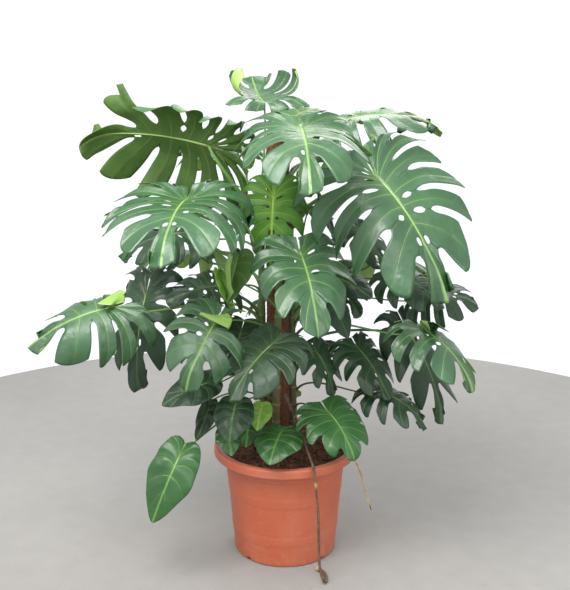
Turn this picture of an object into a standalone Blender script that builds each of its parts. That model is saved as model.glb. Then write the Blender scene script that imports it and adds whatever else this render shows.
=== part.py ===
"""A potted monstera: split leaves and young heart leaves on three stems round a coir pole.

Metres, +Z up. The origin is the middle of the pot's underside, and -Y is the plant's front.
A leaf is one grown piece, its blade and its stalk, so it is one object.
"""

import math

import bmesh
import bpy
from mathutils import Matrix, Vector

# Pot: a turned plastic container with a rolled lip over a plain collar.
POT_HEIGHT = 0.360
LIP_RADIUS = 0.230
LIP_DROP = 0.028
LIP_WIDTH = 0.021
LIP_OVERHANG = 0.0325
COLLAR_HEIGHT = 0.033
COLLAR_STEP = 0.0065
WALL_TAPER = 0.026
COLLAR_RADIUS = LIP_RADIUS - LIP_OVERHANG
WALL_TOP_RADIUS = COLLAR_RADIUS - COLLAR_STEP
BASE_RADIUS = WALL_TOP_RADIUS - WALL_TAPER
POT_WALL = 0.0045
SKIRT_WALL = 0.0035
FLOOR_THICKNESS = 0.005
BASE_EDGE = 0.004
POT_SEGMENTS = 40
NOTCH_COUNT = 4
NOTCH_WIDTH = 0.018
NOTCH_HEIGHT = 0.009

# Soil: fills the pot up to a little under the lip, and is a little higher in the middle.
SOIL_BELOW_LIP = 0.016
SOIL_CROWN = 0.006
SOIL_CROWN_SHARE = 0.6
CLEARANCE = 0.0005

# Growth scales the whole plant above the soil, about the middle of the lip.
GROWTH = 1.0

# Coir pole: stands in the soil, behind the front stem.
POLE_X = -0.022
POLE_Y = 0.015
POLE_RADIUS = 0.037
POLE_TOP = 1.000 * GROWTH
POLE_DEPTH = 0.280
POLE_SIDES = 16

# Stems: each climbs the pole in a slow turn.
STEM_RADIUS = 0.0140
STEM_TIP_RADIUS = 0.0095
STEM_DEPTH = 0.110
STEM_GAP = 0.0015
STEM_SIDES = 8
STEM_RINGS = 13
# Name, angle round the pole at the lip, degrees turned per metre, and top above the lip.
STEMS = (
    ("stem_front", -100, 25, 0.930 * GROWTH),
    ("stem_left", 150, 35, 0.860 * GROWTH),
    ("stem_right", 20, 30, 0.800 * GROWTH),
)

# Leaf stalks: thicker on longer blades, and they leave the stem at the rise angle.
STALK_SHARE = 0.0175
STALK_TAPER = 0.62
STALK_LEAST = 0.0030
STALK_MOST = 0.0068
STALK_RINGS = 7
STALK_SIDES = 5
STALK_RISE = 62
STALK_REACH_OUT = 0.36
STALK_REACH_BACK = 0.30
# How far a stalk meets the blade from behind, and how far along the midrib.
STALK_FROM_BEHIND = 0.75
STALK_FROM_ALONG = 0.55

# Leaf blades: lobes in each half, and the slits that part them.
BLADE_THICKNESS = 0.0030
LOBES = {"split": 5, "heart": 4}
NOTCH_LOBE = 0.15
LOBE_GAP = 0.20
SLIT_START = 0.52
RIB_LEVELS = (0.0, SLIT_START, 0.76, 1.0)
HEART_LEVELS = (0.0, 0.5, 1.0)
BACK_ANGLE = 176
FAN_ANGLE = 112
LAST_RIB = 0.72
RIB_BOW = 0.09
# Outline as a cosine series of the angle from the tip, and half the widest span it gives.
OUTLINES = {
    "split": (0.6325, 0.2525, 0.0325, 0.0825),
    "heart": (0.5600, 0.3467, 0.0400, 0.0533),
}
WIDEST = {"split": 0.60, "heart": 0.54}
TIP_ANGLE = 60
TIP_PINCH = 0.12
BACK_SHARE = 0.36

# One row for each leaf with slits, then for each whole heart-shaped one.
# Places are in metres from the middle of the lip.
#   stem: its place in STEMS, then the stalk's height on it
#   joint: where the stalk meets the blade; tip: the blade's point
#   width, then degrees: turn about the midrib, bend along it, V at it, droop across it,
#   and lift of the lobes behind the stalk; skew: how much more one side droops than the other
SPLIT_LEAVES = (
    ("upper_left",       1, .72, (-.230,  .005,  .955), (-.617, -.030,  .985), .45,  60,  45,  8,  60,  0, 0),
    ("upper_front_left", 0, .62, (-.280, -.250,  .830), (-.318, -.530,  .720), .48,   4,  40,  8,  50, 60, -.5),
    ("top_front",        0, .88, ( .045, -.238, 1.030), ( .066, -.478,  .900), .41,   0,  45,  6,  50, 50, 0),
    ("centre_bright",    0, .70, (-.034, -.100,  .820), (-.042, -.150,  .635), .22,   0,  20,  8,  30,  5, 0),
    ("centre_front",     0, .48, ( .048, -.205,  .660), ( .091, -.370,  .480), .31,   0,  40,  8,  40, 40, 0),
    ("right_front",      2, .70, ( .268, -.150,  .880), ( .452, -.290,  .570), .52,  20,  40,  6,  50, 40, .85),
    ("low_left_front",   0, .36, (-.200, -.250,  .480), (-.283, -.350,  .315), .28, -30,  40,  6,  50,  0, -.3),
    ("far_left",         1, .40, (-.520, -.100,  .480), (-.760, -.160,  .380), .36, -30,  40,  5,  85, 20, 0),
    ("left_dark",        1, .42, (-.445,  .070,  .475), (-.470,  .020,  .190), .28,   0,  40,  8,  60,  0, 0),
    ("left_inner",       1, .50, (-.205, -.030,  .530), (-.360, -.070,  .490), .23, -35,  30,  8,  50, 10, 0),
    ("low_centre",       0, .28, (-.038, -.225,  .400), (-.150, -.335,  .275), .27, -12,  40,  8,  45, 20, 0),
    ("low_right",        2, .10, ( .134, -.170,  .165), ( .205, -.265,  .060), .24,   5,  40,  8,  40, 20, 0),
    ("centre_left_tip",  1, .30, (-.135, -.060,  .395), (-.165, -.165,  .290), .14, -10,  30,  8,  30, 20, 0),
    ("right_low_front",  2, .34, ( .420, -.150,  .420), ( .550, -.250,  .275), .31,  -5,  45,  8,  65, 15, 0),
    ("right_far",        2, .42, ( .455,  .080,  .480), ( .615,  .040,  .450), .26,  25,  40,  5,  60, 10, 0),
    ("right_mid",        2, .50, ( .350, -.010,  .560), ( .480, -.090,  .480), .22,  20,  40,  5,  50, 20, 0),
    ("right_hanging",    2, .28, ( .400,  .060,  .350), ( .500, -.020,  .090), .24,  10,  40,  8,  55, 20, 0),
    ("right_bottom",     2, .16, ( .300, -.040,  .190), ( .440, -.110,  .100), .21,  10,  40,  5,  55, 10, 0),
    ("right_inner_low",  2, .24, ( .235, -.020,  .320), ( .320, -.100,  .190), .21,  10,  30,  8,  50, 20, 0),
    ("right_dark",       2, .54, ( .235,  .090,  .680), ( .320,  .040,  .570), .18,  15,  30,  8,  40,  0, 0),
    ("top_back",         1, .80, (-.065,  .110, 1.080), (-.110,  .310, 1.150), .36,   0, -30, 10, -25, 10, 0),
    ("top_right_curl",   0, .88, ( .005, -.030, 1.030), ( .110,  .060, 1.060), .22,  15,  40,  8,  50, 10, 0),
    ("top_right",        2, .78, ( .190,  .120, 1.025), ( .490,  .110, 1.005), .32,  12,  40,  8,  50, 10, 0),
    ("centre_right_dark", 2, .56, ( .115,  .045,  .785), ( .150,  .060,  .625), .13,  10,  30,  8,  40,  0, 0),
    ("left_back_upper",  1, .62, (-.330,  .100,  .670), (-.520,  .080,  .600), .26, -20,  40,  8,  55, 20, 0),
    ("back_high_left",   1, .76, (-.180,  .230,  .930), (-.330,  .480,  .850), .4,  10,  50,  8,  50, 20, 0),
    ("back_high_right",  2, .74, ( .180,  .250,  .900), ( .350,  .490,  .800), .4, -10,  50,  8,  50, 20, 0),
    ("back_middle",      1, .60, (-.040,  .260,  .740), (-.060,  .540,  .620), .42,   0,  50,  8,  50, 20, 0),
    ("back_left",        1, .52, (-.290,  .240,  .580), (-.480,  .420,  .460), .34,  10,  50,  8,  55, 20, 0),
    ("back_right",       2, .50, ( .290,  .200,  .560), ( .500,  .370,  .440), .36, -10,  50,  8,  55, 20, 0),
    ("back_low_middle",  1, .34, ( .020,  .250,  .420), ( .040,  .480,  .280), .34,   0,  50,  8,  50, 20, 0),
    ("back_low_left",    1, .22, (-.190,  .190,  .280), (-.330,  .340,  .140), .26,   8,  45,  8,  45, 20, 0),
    ("back_low_right",   2, .22, ( .190,  .170,  .280), ( .320,  .330,  .140), .26,  -8,  45,  8,  45, 20, 0),
    ("inner_right",      2, .46, ( .161,  .046,  .524), ( .231, -.011,  .430), .19,  28,  35,  8,  40, 10, 0),
    ("inner_low_right",  2, .25, ( .100, -.050,  .320), ( .150, -.090,  .200), .16,  10,  35,  8,  40, 10, 0),
)
HEART_LEAVES = (
    ("lime_fold",        0, .46, (-.190, -.140,  .585), (-.155, -.175,  .480), .085,  10,  20, 40,  10,  0, 0),
    ("low_left_oval",    1, .22, (-.235, -.150,  .255), (-.370, -.190,  .195), .12, -30,  30, 10,  30, 20, 0),
    ("low_dark_heart",   0, .15, (-.150, -.195,  .200), (-.165, -.260,  .105), .12,   0,  30,  8,  30, 20, 0),
    ("low_edge_on",      1, .13, (-.235, -.110,  .165), (-.275, -.145,  .065), .06, -60,  20, 30,  20, 20, 0),
    ("outside_heart",    1, .07, (-.320, -.210,  .042), (-.400, -.265, -.150), .14, -40,  30,  8,  30,  0, 0),
    ("front_heart",      0, .06, (-.012, -.175,  .105), (-.045, -.265,  .035), .15,   0,  40,  8,  35, 20, 0),
    ("small_left_heart", 1, .05, (-.178, -.135,  .090), (-.165, -.180,  .028), .08,   0,  30,  8,  30, 20, 0),
    ("small_round",      0, .10, (-.112, -.120,  .110), (-.120, -.165,  .050), .065,   0,  30,  8,  30, 20, 0),
    ("small_lime",       0, .12, (-.072, -.118,  .165), (-.085, -.165,  .105), .07,   0,  30,  8,  30, 20, 0),
    ("right_inner",      2, .46, ( .160, -.050,  .560), ( .260, -.120,  .510), .13,  20,  30,  8,  40, 20, 0),
    ("centre_right_low", 2, .38, ( .130, -.060,  .500), ( .190, -.100,  .380), .12,  10,  30,  8,  30, 20, 0),
    ("olive_fold",       0, .54, (-.140, -.150,  .640), (-.170, -.210,  .520), .13, -20,  20, 35,  10, 20, 0),
    ("back_heart",       1, .09, (-.020,  .180,  .110), (-.040,  .290,  .010), .16,   0,  35,  8,  35, 20, 0),
)

# Aerial roots: (across, forward) as shares of the lip's radius, and a height above the lip.
ROOT_STEPS = 2
ROOT_SIDES = 6
LONG_ROOT_RADIUS = 0.0040
LONG_ROOT_END_RADIUS = 0.0066
LONG_ROOT_SWELLS_AT = 0.72
LONG_ROOT = (
    (0.000, 0.413, 0.200),
    (0.113, 0.574, 0.145),
    (0.217, 0.704, 0.100),
    (0.296, 0.826, 0.050),
    (0.361, 0.930, 0.016),
    (0.400, 1.061, -0.030),
    (0.413, 1.087, -0.065),
    (0.439, 1.113, -0.130),
    (0.452, 1.135, 0.108, "floor"),
    (0.470, 1.148, 0.050, "floor"),
    (0.517, 1.174, 0.014, "floor"),
    (0.557, 1.087, 0.0072, "floor"),
    (0.530, 0.913, 0.0070, "floor"),
    (0.426, 0.791, 0.0068, "floor"),
)
SHORT_ROOT_RADIUS = 0.0034
SHORT_ROOT_TIP_RADIUS = 0.0020
SHORT_ROOT = (
    (0.370, 0.413, 0.135),
    (0.652, 0.587, 0.085),
    (0.835, 0.661, 0.040),
    (0.926, 0.709, 0.014),
    (1.026, 0.730, -0.040),
    (1.087, 0.730, -0.095),
    (1.174, 0.717, -0.160),
)


def clear_scene():
    """Removes what the file starts with."""
    for obj in list(bpy.data.objects):
        bpy.data.objects.remove(obj, do_unlink=True)


def material(name, colour, roughness):
    """A Principled material; colour is linear RGB."""
    made = bpy.data.materials.new(name)
    made.use_nodes = True
    shader = made.node_tree.nodes["Principled BSDF"]
    shader.inputs["Base Color"].default_value = (*colour, 1.0)
    shader.inputs["Roughness"].default_value = roughness
    shader.inputs["Metallic"].default_value = 0.0
    return made


def add_object(name, mesh_data, finish=None):
    """Turns a bmesh into a smooth-shaded object."""
    bmesh.ops.recalc_face_normals(mesh_data, faces=mesh_data.faces)
    mesh = bpy.data.meshes.new(name)
    mesh_data.to_mesh(mesh)
    mesh_data.free()
    mesh.shade_smooth()
    mesh.set_sharp_from_angle(angle=math.radians(40))
    obj = bpy.data.objects.new(name, mesh)
    bpy.context.collection.objects.link(obj)
    if finish:
        mesh.materials.append(finish)
    return obj


def hide_helper(obj):
    """Marks an object as a cutter or an operand."""
    obj.hide_render = True
    obj.display_type = "WIRE"


def boolean(target, other, operation):
    """Adds an exact Boolean with a hidden helper."""
    hide_helper(other)
    step = target.modifiers.new(operation.title(), "BOOLEAN")
    step.operation = operation
    step.solver = "EXACT"
    step.object = other


def turned(name, profile, segments, finish=None):
    """Turns a closed outline of (radius, height) points round Z; a radius of 0 lies on the axis."""
    shape = bmesh.new()
    rings = []
    for radius, height in profile:
        if radius == 0.0:
            rings.append([shape.verts.new((0.0, 0.0, height))])
            continue
        ring = []
        for i in range(segments):
            angle = 2 * math.pi * i / segments
            ring.append(shape.verts.new((radius * math.cos(angle), radius * math.sin(angle), height)))
        rings.append(ring)
    for lower, upper in zip(rings, rings[1:]):
        for i in range(segments):
            j = (i + 1) % segments
            if len(lower) == 1:
                shape.faces.new((lower[0], upper[i], upper[j]))
            elif len(upper) == 1:
                shape.faces.new((lower[i], lower[j], upper[0]))
            else:
                shape.faces.new((lower[i], lower[j], upper[j], upper[i]))
    return add_object(name, shape, finish)


def tube(name, points, radii, sides, finish=None):
    """A closed tube along points, one radius at each, with its rings turned as little as they can be."""
    shape = bmesh.new()
    rings = []
    across = None
    last = len(points) - 1
    for i, centre in enumerate(points):
        along = (points[min(i + 1, last)] - points[max(i - 1, 0)]).normalized()
        if across is None:
            across = along.orthogonal().normalized()
        across = (across - along * across.dot(along)).normalized()
        other = along.cross(across)
        ring = []
        for k in range(sides):
            angle = 2 * math.pi * k / sides
            offset = across * math.cos(angle) + other * math.sin(angle)
            ring.append(shape.verts.new(centre + offset * radii[i]))
        rings.append(ring)
    for lower, upper in zip(rings, rings[1:]):
        for k in range(sides):
            j = (k + 1) % sides
            shape.faces.new((lower[k], lower[j], upper[j], upper[k]))
    shape.faces.new(list(reversed(rings[0])))
    shape.faces.new(rings[-1])
    return add_object(name, shape, finish)


def smooth_route(knots, steps):
    """Points on a smooth curve through the knots (Catmull-Rom)."""
    points = []
    last = len(knots) - 1
    for i in range(last):
        before = knots[max(i - 1, 0)]
        start = knots[i]
        end = knots[i + 1]
        after = knots[min(i + 2, last)]
        for k in range(steps):
            t = k / steps
            points.append(
                0.5
                * (
                    2 * start
                    + (end - before) * t
                    + (2 * before - 5 * start + 4 * end - after) * t**2
                    + (3 * start - before - 3 * end + after) * t**3
                )
            )
    points.append(knots[-1].copy())
    return points


def inner_wall_radius(height):
    """The pot's inside radius at a height on its tapered wall."""
    share = height / (POT_HEIGHT - LIP_DROP - COLLAR_HEIGHT)
    return BASE_RADIUS + (WALL_TOP_RADIUS - BASE_RADIUS) * share - POT_WALL


def make_pot(finish):
    """Container: tapered wall, plain collar, and a lip rolled out and down over it."""
    lip_bottom = POT_HEIGHT - LIP_DROP
    step = lip_bottom - COLLAR_HEIGHT
    lip_inner = LIP_RADIUS - LIP_WIDTH
    profile = (
        (0.0, 0.0),
        (BASE_RADIUS - BASE_EDGE, 0.0),
        (BASE_RADIUS, BASE_EDGE),
        (WALL_TOP_RADIUS, step - BASE_EDGE / 2),
        (COLLAR_RADIUS, step),
        (COLLAR_RADIUS, lip_bottom + SKIRT_WALL),
        (LIP_RADIUS - SKIRT_WALL, lip_bottom + SKIRT_WALL),
        (LIP_RADIUS - SKIRT_WALL, lip_bottom),
        (LIP_RADIUS, lip_bottom),
        (LIP_RADIUS, POT_HEIGHT - LIP_DROP * 0.25),
        (LIP_RADIUS - LIP_WIDTH * 0.2, POT_HEIGHT),
        (lip_inner + LIP_WIDTH * 0.25, POT_HEIGHT),
        (lip_inner, POT_HEIGHT - LIP_DROP * 0.25),
        (COLLAR_RADIUS - POT_WALL, lip_bottom + SKIRT_WALL),
        (inner_wall_radius(step - POT_WALL), step - POT_WALL),
        (inner_wall_radius(FLOOR_THICKNESS), FLOOR_THICKNESS),
        (0.0, FLOOR_THICKNESS),
    )
    pot = turned("pot", profile, POT_SEGMENTS, finish)
    notches = bmesh.new()
    for i in range(NOTCH_COUNT):
        angle = math.pi / 4 + 2 * math.pi * i / NOTCH_COUNT
        box = bmesh.ops.create_cube(notches, size=1.0)["verts"]
        bmesh.ops.scale(notches, verts=box, vec=(4 * POT_WALL, NOTCH_WIDTH, 2 * NOTCH_HEIGHT))
        bmesh.ops.translate(notches, verts=box, vec=(BASE_RADIUS - POT_WALL / 2, 0, 0))
        bmesh.ops.rotate(notches, verts=box, cent=(0, 0, 0), matrix=Matrix.Rotation(angle, 3, "Z"))
    boolean(pot, add_object("drain_notches", notches), "DIFFERENCE")


def make_soil(finish, bores):
    """Soil and roots: fills the pot, with a bore for the pole and for each stem."""
    top = POT_HEIGHT - SOIL_BELOW_LIP
    step = POT_HEIGHT - LIP_DROP - COLLAR_HEIGHT - POT_WALL
    bottom = FLOOR_THICKNESS + CLEARANCE
    lip_foot = POT_HEIGHT - LIP_DROP + SKIRT_WALL
    profile = (
        (0.0, bottom),
        (inner_wall_radius(bottom) - CLEARANCE * 2, bottom),
        (inner_wall_radius(step) - CLEARANCE * 2, step),
        (COLLAR_RADIUS - POT_WALL - CLEARANCE * 2, lip_foot),
        (COLLAR_RADIUS - POT_WALL - CLEARANCE * 2, top - SOIL_CROWN),
        ((COLLAR_RADIUS - POT_WALL) * SOIL_CROWN_SHARE, top),
        (0.0, top),
    )
    soil = turned("soil", profile, POT_SEGMENTS, finish)
    for bore in bores:
        boolean(soil, bore, "DIFFERENCE")
    return soil


def pole_centre(height):
    """The pole's middle at a height above the lip."""
    return Vector((POLE_X, POLE_Y, POT_HEIGHT + height))


def make_pole(finish):
    """Coir pole, and the bore that it needs in the soil."""
    heights = (-POLE_DEPTH, POLE_TOP - POLE_RADIUS * 0.4, POLE_TOP)
    radii = (POLE_RADIUS, POLE_RADIUS, POLE_RADIUS * 0.7)
    points = [pole_centre(height) for height in heights]
    tube("coir_pole", points, radii, POLE_SIDES, finish)
    bore_points = [pole_centre(-POLE_DEPTH - CLEARANCE), pole_centre(0.1)]
    bore_radius = POLE_RADIUS + CLEARANCE
    return tube("pole_bore", bore_points, (bore_radius, bore_radius), POLE_SIDES)


def stem_point(index, height):
    """The middle of a stem at a height above the lip: a slow helix on the pole."""
    _, start, turn, _ = STEMS[index]
    angle = math.radians(start + turn * height)
    reach = POLE_RADIUS + STEM_RADIUS + STEM_GAP
    return pole_centre(height) + Vector((reach * math.cos(angle), reach * math.sin(angle), 0.0))


def stem_radius(index, height):
    """A stem's radius there: it thins towards its top."""
    share = max(0.0, min(1.0, height / STEMS[index][3]))
    return STEM_RADIUS + (STEM_TIP_RADIUS - STEM_RADIUS) * share


def make_stem(index, finish):
    """One climbing stem, and the bore that it needs in the soil."""
    name, _, _, top = STEMS[index]
    points = []
    radii = []
    for i in range(STEM_RINGS):
        height = -STEM_DEPTH + (top + STEM_DEPTH) * i / (STEM_RINGS - 1)
        points.append(stem_point(index, height))
        radii.append(stem_radius(index, height))
    tube(name, points, radii, STEM_SIDES, finish)
    bore_points = []
    for i in range(4):
        bore_points.append(stem_point(index, -STEM_DEPTH - CLEARANCE + (STEM_DEPTH + 0.05) * i / 3))
    bore_radius = STEM_RADIUS + CLEARANCE * 2
    return tube(name + "_bore", bore_points, [bore_radius] * 4, STEM_SIDES)


def outline_reach(form, angle):
    """Blade outline: distance from the stalk at an angle from the tip, for a blade of length 1."""
    a = math.radians(angle)
    reach = sum(share * math.cos(k * a) for k, share in enumerate(OUTLINES[form]))
    if angle < TIP_ANGLE:
        reach -= TIP_PINCH * math.sin(3 * a) ** 2
    return reach


def flat_point(form, along, out, side, aspect):
    """A point of the flat blade: along 0 is the notch and 1 the tip, out runs from midrib to edge."""
    angle = BACK_ANGLE * (1 - along)
    foot = 0.0
    if angle < FAN_ANGLE:
        foot = LAST_RIB * (FAN_ANGLE - angle) / FAN_ANGLE
    reach = outline_reach(form, angle)
    edge_x = reach * math.sin(math.radians(angle)) * aspect
    edge_y = reach * math.cos(math.radians(angle))
    bow = RIB_BOW * 4 * out * (1 - out) * (1 - angle / 180)
    return side * edge_x * out, foot + (edge_y - foot) * out - bow


def curved_offset(distance, start, turn_rate):
    """Along and up after a distance on an arc that leaves at an angle and turns down steadily."""
    if abs(turn_rate) < 1e-6:
        return distance * math.cos(start), distance * math.sin(start)
    end = start - turn_rate * distance
    return (
        (math.sin(start) - math.sin(end)) / turn_rate,
        (math.cos(end) - math.cos(start)) / turn_rate,
    )


class Blade:
    """Where a leaf's blade lies: it maps a flat blade of length 1 into the plant."""

    def __init__(self, form, joint, tip, width, turn, bend, fold, droop, lift, skew):
        chord = tip - joint
        self.joint = joint
        self.ahead = chord.normalized()
        up = Vector((0, 0, 1))
        face = (up - self.ahead * up.dot(self.ahead)).normalized()
        self.face = Matrix.Rotation(math.radians(turn), 3, self.ahead) @ face
        self.across = self.ahead.cross(self.face)
        half_bend = math.radians(bend) / 2
        self.length = chord.length * half_bend / math.sin(half_bend)
        self.start = half_bend
        self.turn_rate = 2 * half_bend / self.length
        self.lift_rate = -math.radians(lift) / (BACK_SHARE * self.length)
        self.fold = math.radians(fold)
        self.droop_rate = math.radians(droop) / (width / 2)
        self.skew = skew
        self.aspect = width / (2 * WIDEST[form] * self.length)

    def place(self, flat):
        """A flat point, bent along the midrib and across it."""
        x, y = flat[0] * self.length, flat[1] * self.length
        rate = self.turn_rate if y >= 0 else self.lift_rate
        ahead, up = curved_offset(y, self.start, rate)
        slope = self.start - rate * y
        droop_rate = self.droop_rate * (1 + math.copysign(1, x) * self.skew)
        out, lift = curved_offset(abs(x), self.fold, droop_rate)
        normal = self.face * math.cos(slope) - self.ahead * math.sin(slope)
        spot = self.joint + self.ahead * ahead + self.face * up
        return spot + self.across * math.copysign(out, x) + normal * lift


def lobe_edges(form, count):
    """The cuts between lobes, as places along the outline from 0 to 1. The notch's lobe is wider."""
    if form == "heart":
        return [i / count for i in range(count + 1)]
    return [0.0] + [(i + NOTCH_LOBE) / (count + NOTCH_LOBE) for i in range(1, count)] + [1.0]


def make_blade(name, form, blade, finish):
    """A thin solid blade. Lobes share their inner parts and stand apart from each slit's root."""
    shape = bmesh.new()
    levels = RIB_LEVELS if form == "split" else HEART_LEVELS
    lobes = LOBES[form]
    edges = lobe_edges(form, lobes)
    points = {}

    def vertex(along, out, side):
        """One vertex for each place, so that neighbouring faces share it."""
        flat = flat_point(form, along, out, side, blade.aspect)
        key = (round(flat[0], 5), round(flat[1], 5))
        if key not in points:
            points[key] = shape.verts.new(blade.place(flat))
        return points[key]

    for side in (-1, 1):
        for k, (low, high) in enumerate(zip(edges, edges[1:])):
            rows = []
            for out in levels:
                gap = 0.0
                if form == "split" and out > SLIT_START:
                    gap = LOBE_GAP * (high - low) * math.sqrt((out - SLIT_START) / (1 - SLIT_START))
                first = low if k == 0 else low + gap
                last = high if k == lobes - 1 else high - gap
                rows.append((vertex(first, out, side), vertex(last, out, side)))
            for inner, outer in zip(rows, rows[1:]):
                corners = [inner[0], inner[1], outer[1], outer[0]]
                distinct = [v for i, v in enumerate(corners) if v is not corners[i - 1]]
                if side < 0:
                    distinct.reverse()
                shape.faces.new(distinct)
    mesh = add_object(name, shape, finish)
    solid = mesh.modifiers.new("Thickness", "SOLIDIFY")
    solid.thickness = BLADE_THICKNESS * GROWTH
    solid.offset = 0.0
    return mesh


def lip_point(place):
    """A place in the leaf table, as a point in space."""
    return Vector((0, 0, POT_HEIGHT)) + Vector(place) * GROWTH


def stalk_route(stem, at, blade, base_radius):
    """The stalk: out of its stem and up, then over into the back of the blade."""
    middle = stem_point(stem, at)
    outward = blade.joint - middle
    outward.z = 0.0
    outward.normalize()
    rise = math.radians(STALK_RISE)
    leave = outward * math.cos(rise) + Vector((0, 0, 1)) * math.sin(rise)
    stand_off = stem_radius(stem, at) + base_radius * math.sin(rise) + CLEARANCE
    start = middle + outward * stand_off
    slope = blade.start
    normal = blade.face * math.cos(slope) - blade.ahead * math.sin(slope)
    tangent = blade.ahead * math.cos(slope) + blade.face * math.sin(slope)
    arrive = (normal * STALK_FROM_BEHIND + tangent * STALK_FROM_ALONG).normalized()
    reach = (blade.joint - start).length
    first = start + leave * reach * STALK_REACH_OUT
    second = blade.joint - arrive * reach * STALK_REACH_BACK
    points = []
    for i in range(STALK_RINGS + 1):
        t = i / STALK_RINGS
        points.append(
            start * (1 - t) ** 3
            + first * 3 * t * (1 - t) ** 2
            + second * 3 * t**2 * (1 - t)
            + blade.joint * t**3
        )
    return points


def make_leaf(form, row, finish):
    """One leaf: its blade and its stalk, joined."""
    name, stem, at, joint, tip, width, *angles = row
    blade = Blade(form, lip_point(joint), lip_point(tip), width * GROWTH, *angles)
    leaf = make_blade("leaf_" + name, form, blade, finish)
    thick = min(STALK_MOST, max(STALK_LEAST, STALK_SHARE * blade.length)) * GROWTH
    radii = []
    for i in range(STALK_RINGS + 1):
        radii.append(thick * (1 - (1 - STALK_TAPER) * i / STALK_RINGS))
    route = stalk_route(stem, at * GROWTH, blade, thick)
    boolean(leaf, tube("stalk_" + name, route, radii, STALK_SIDES), "UNION")


def root_route(knots):
    """A smooth route through knots of (across, forward, height): shares of the lip's radius, then
    metres. A height is above the lip, where it grows with the plant, or above the "floor"."""
    points = []
    for across, forward, height, *level in knots:
        if level:
            z = height
        else:
            z = POT_HEIGHT + height * (GROWTH if height > 0 else 1.0)
        points.append(Vector((across * LIP_RADIUS, -forward * LIP_RADIUS, z)))
    return smooth_route(points, ROOT_STEPS)


def make_roots(finish):
    """Aerial roots: one over the lip to the floor, one hanging past the lip."""
    points = root_route(LONG_ROOT)
    last = len(points) - 1
    radii = []
    for i in range(last + 1):
        swollen = max(0.0, (i / last - LONG_ROOT_SWELLS_AT) / (1 - LONG_ROOT_SWELLS_AT))
        radii.append(LONG_ROOT_RADIUS + (LONG_ROOT_END_RADIUS - LONG_ROOT_RADIUS) * swollen)
    tube("aerial_root_long", points, radii, ROOT_SIDES, finish)
    points = root_route(SHORT_ROOT)
    last = len(points) - 1
    radii = []
    for i in range(last + 1):
        radii.append(SHORT_ROOT_RADIUS + (SHORT_ROOT_TIP_RADIUS - SHORT_ROOT_RADIUS) * i / last)
    tube("aerial_root_short", points, radii, ROOT_SIDES, finish)


def main():
    clear_scene()
    bores = [make_pole(material("coir", (0.10, 0.045, 0.025), 0.95))]
    bark = material("stem_bark", (0.09, 0.10, 0.04), 0.7)
    for index in range(len(STEMS)):
        bores.append(make_stem(index, bark))
    make_soil(material("potting_soil", (0.045, 0.025, 0.015), 0.95), bores)
    make_pot(material("pot_plastic", (0.52, 0.13, 0.06), 0.45))
    leaf_green = material("leaf_green", (0.05, 0.14, 0.04), 0.38)
    for row in SPLIT_LEAVES:
        make_leaf("split", row, leaf_green)
    young_green = material("young_leaf_green", (0.06, 0.18, 0.05), 0.38)
    for row in HEART_LEAVES:
        make_leaf("heart", row, young_green)
    make_roots(material("root_bark", (0.16, 0.10, 0.05), 0.8))


main()
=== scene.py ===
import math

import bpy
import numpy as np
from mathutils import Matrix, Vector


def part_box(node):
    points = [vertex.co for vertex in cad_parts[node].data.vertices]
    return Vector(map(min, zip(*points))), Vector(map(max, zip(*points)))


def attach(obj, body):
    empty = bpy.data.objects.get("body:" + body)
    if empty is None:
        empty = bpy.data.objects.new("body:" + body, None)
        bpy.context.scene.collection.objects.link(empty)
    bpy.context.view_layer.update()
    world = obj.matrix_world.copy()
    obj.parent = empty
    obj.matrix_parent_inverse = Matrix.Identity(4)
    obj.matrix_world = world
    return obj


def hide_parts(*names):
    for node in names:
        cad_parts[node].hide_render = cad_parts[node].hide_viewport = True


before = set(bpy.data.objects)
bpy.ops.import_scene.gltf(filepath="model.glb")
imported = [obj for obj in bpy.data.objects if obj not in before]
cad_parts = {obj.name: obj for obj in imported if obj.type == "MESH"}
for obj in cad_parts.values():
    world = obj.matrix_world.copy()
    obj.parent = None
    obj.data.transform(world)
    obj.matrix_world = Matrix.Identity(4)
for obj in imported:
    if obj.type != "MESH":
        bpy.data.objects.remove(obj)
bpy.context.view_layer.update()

# %% [markdown]
# # A potted monstera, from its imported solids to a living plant
#
# The frame holds the plant as plain solids: a pot, its soil, a coir pole, three climbing stems,
# forty-eight leaves and two aerial roots. Their places and sizes are settled. This script gives each
# one the surface that it has on a real plant, in the same place and at the same size.
#
# Everything here is a surface worked out with numpy. A leaf, a pot wall or a root is a rule that
# turns two numbers into a point, so it can be read, changed and run again. Sculpting by hand would
# look as good once, but nobody could read it afterwards. Sizes are in metres, and angles that have
# a name are in degrees.

pot_low, pot_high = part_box("pot")
_, soil_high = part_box("soil")
pole_low, pole_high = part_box("coir_pole")
LIP_HEIGHT = pot_high[2]
LIP_RADIUS = (pot_high[0] - pot_low[0]) / 2
SOIL_TOP = soil_high[2]
POLE_RADIUS = (pole_high[0] - pole_low[0]) / 2
POLE_X = (pole_high[0] + pole_low[0]) / 2
POLE_Y = (pole_high[1] + pole_low[1]) / 2

# %% [markdown]
# ## Meshes from arrays
#
# Every piece is made the same way: an array of points, an array of triangles, and for each point a
# few named values that its finish reads, such as how far it is from a leaf's rib. Blender takes
# whole arrays through foreach_set, which is far quicker than adding vertices one by one.
#
# A shape is kept as a small dictionary until all of a piece's shapes are joined, so that a blade
# and its stalk end up in one mesh, as they are one grown thing.

# %% Shapes, and how they become a piece
def shape(points, faces, finish=0, **values):
    """A part of a mesh: its points, its triangles, which finish they take, and values for each point."""
    points = np.asarray(points, float).reshape(-1, 3)
    filled = {key: np.broadcast_to(value, len(points)).astype(float) for key, value in values.items()}
    return {"points": points, "faces": faces, "finish": np.full(len(faces), finish), "values": filled}


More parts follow.
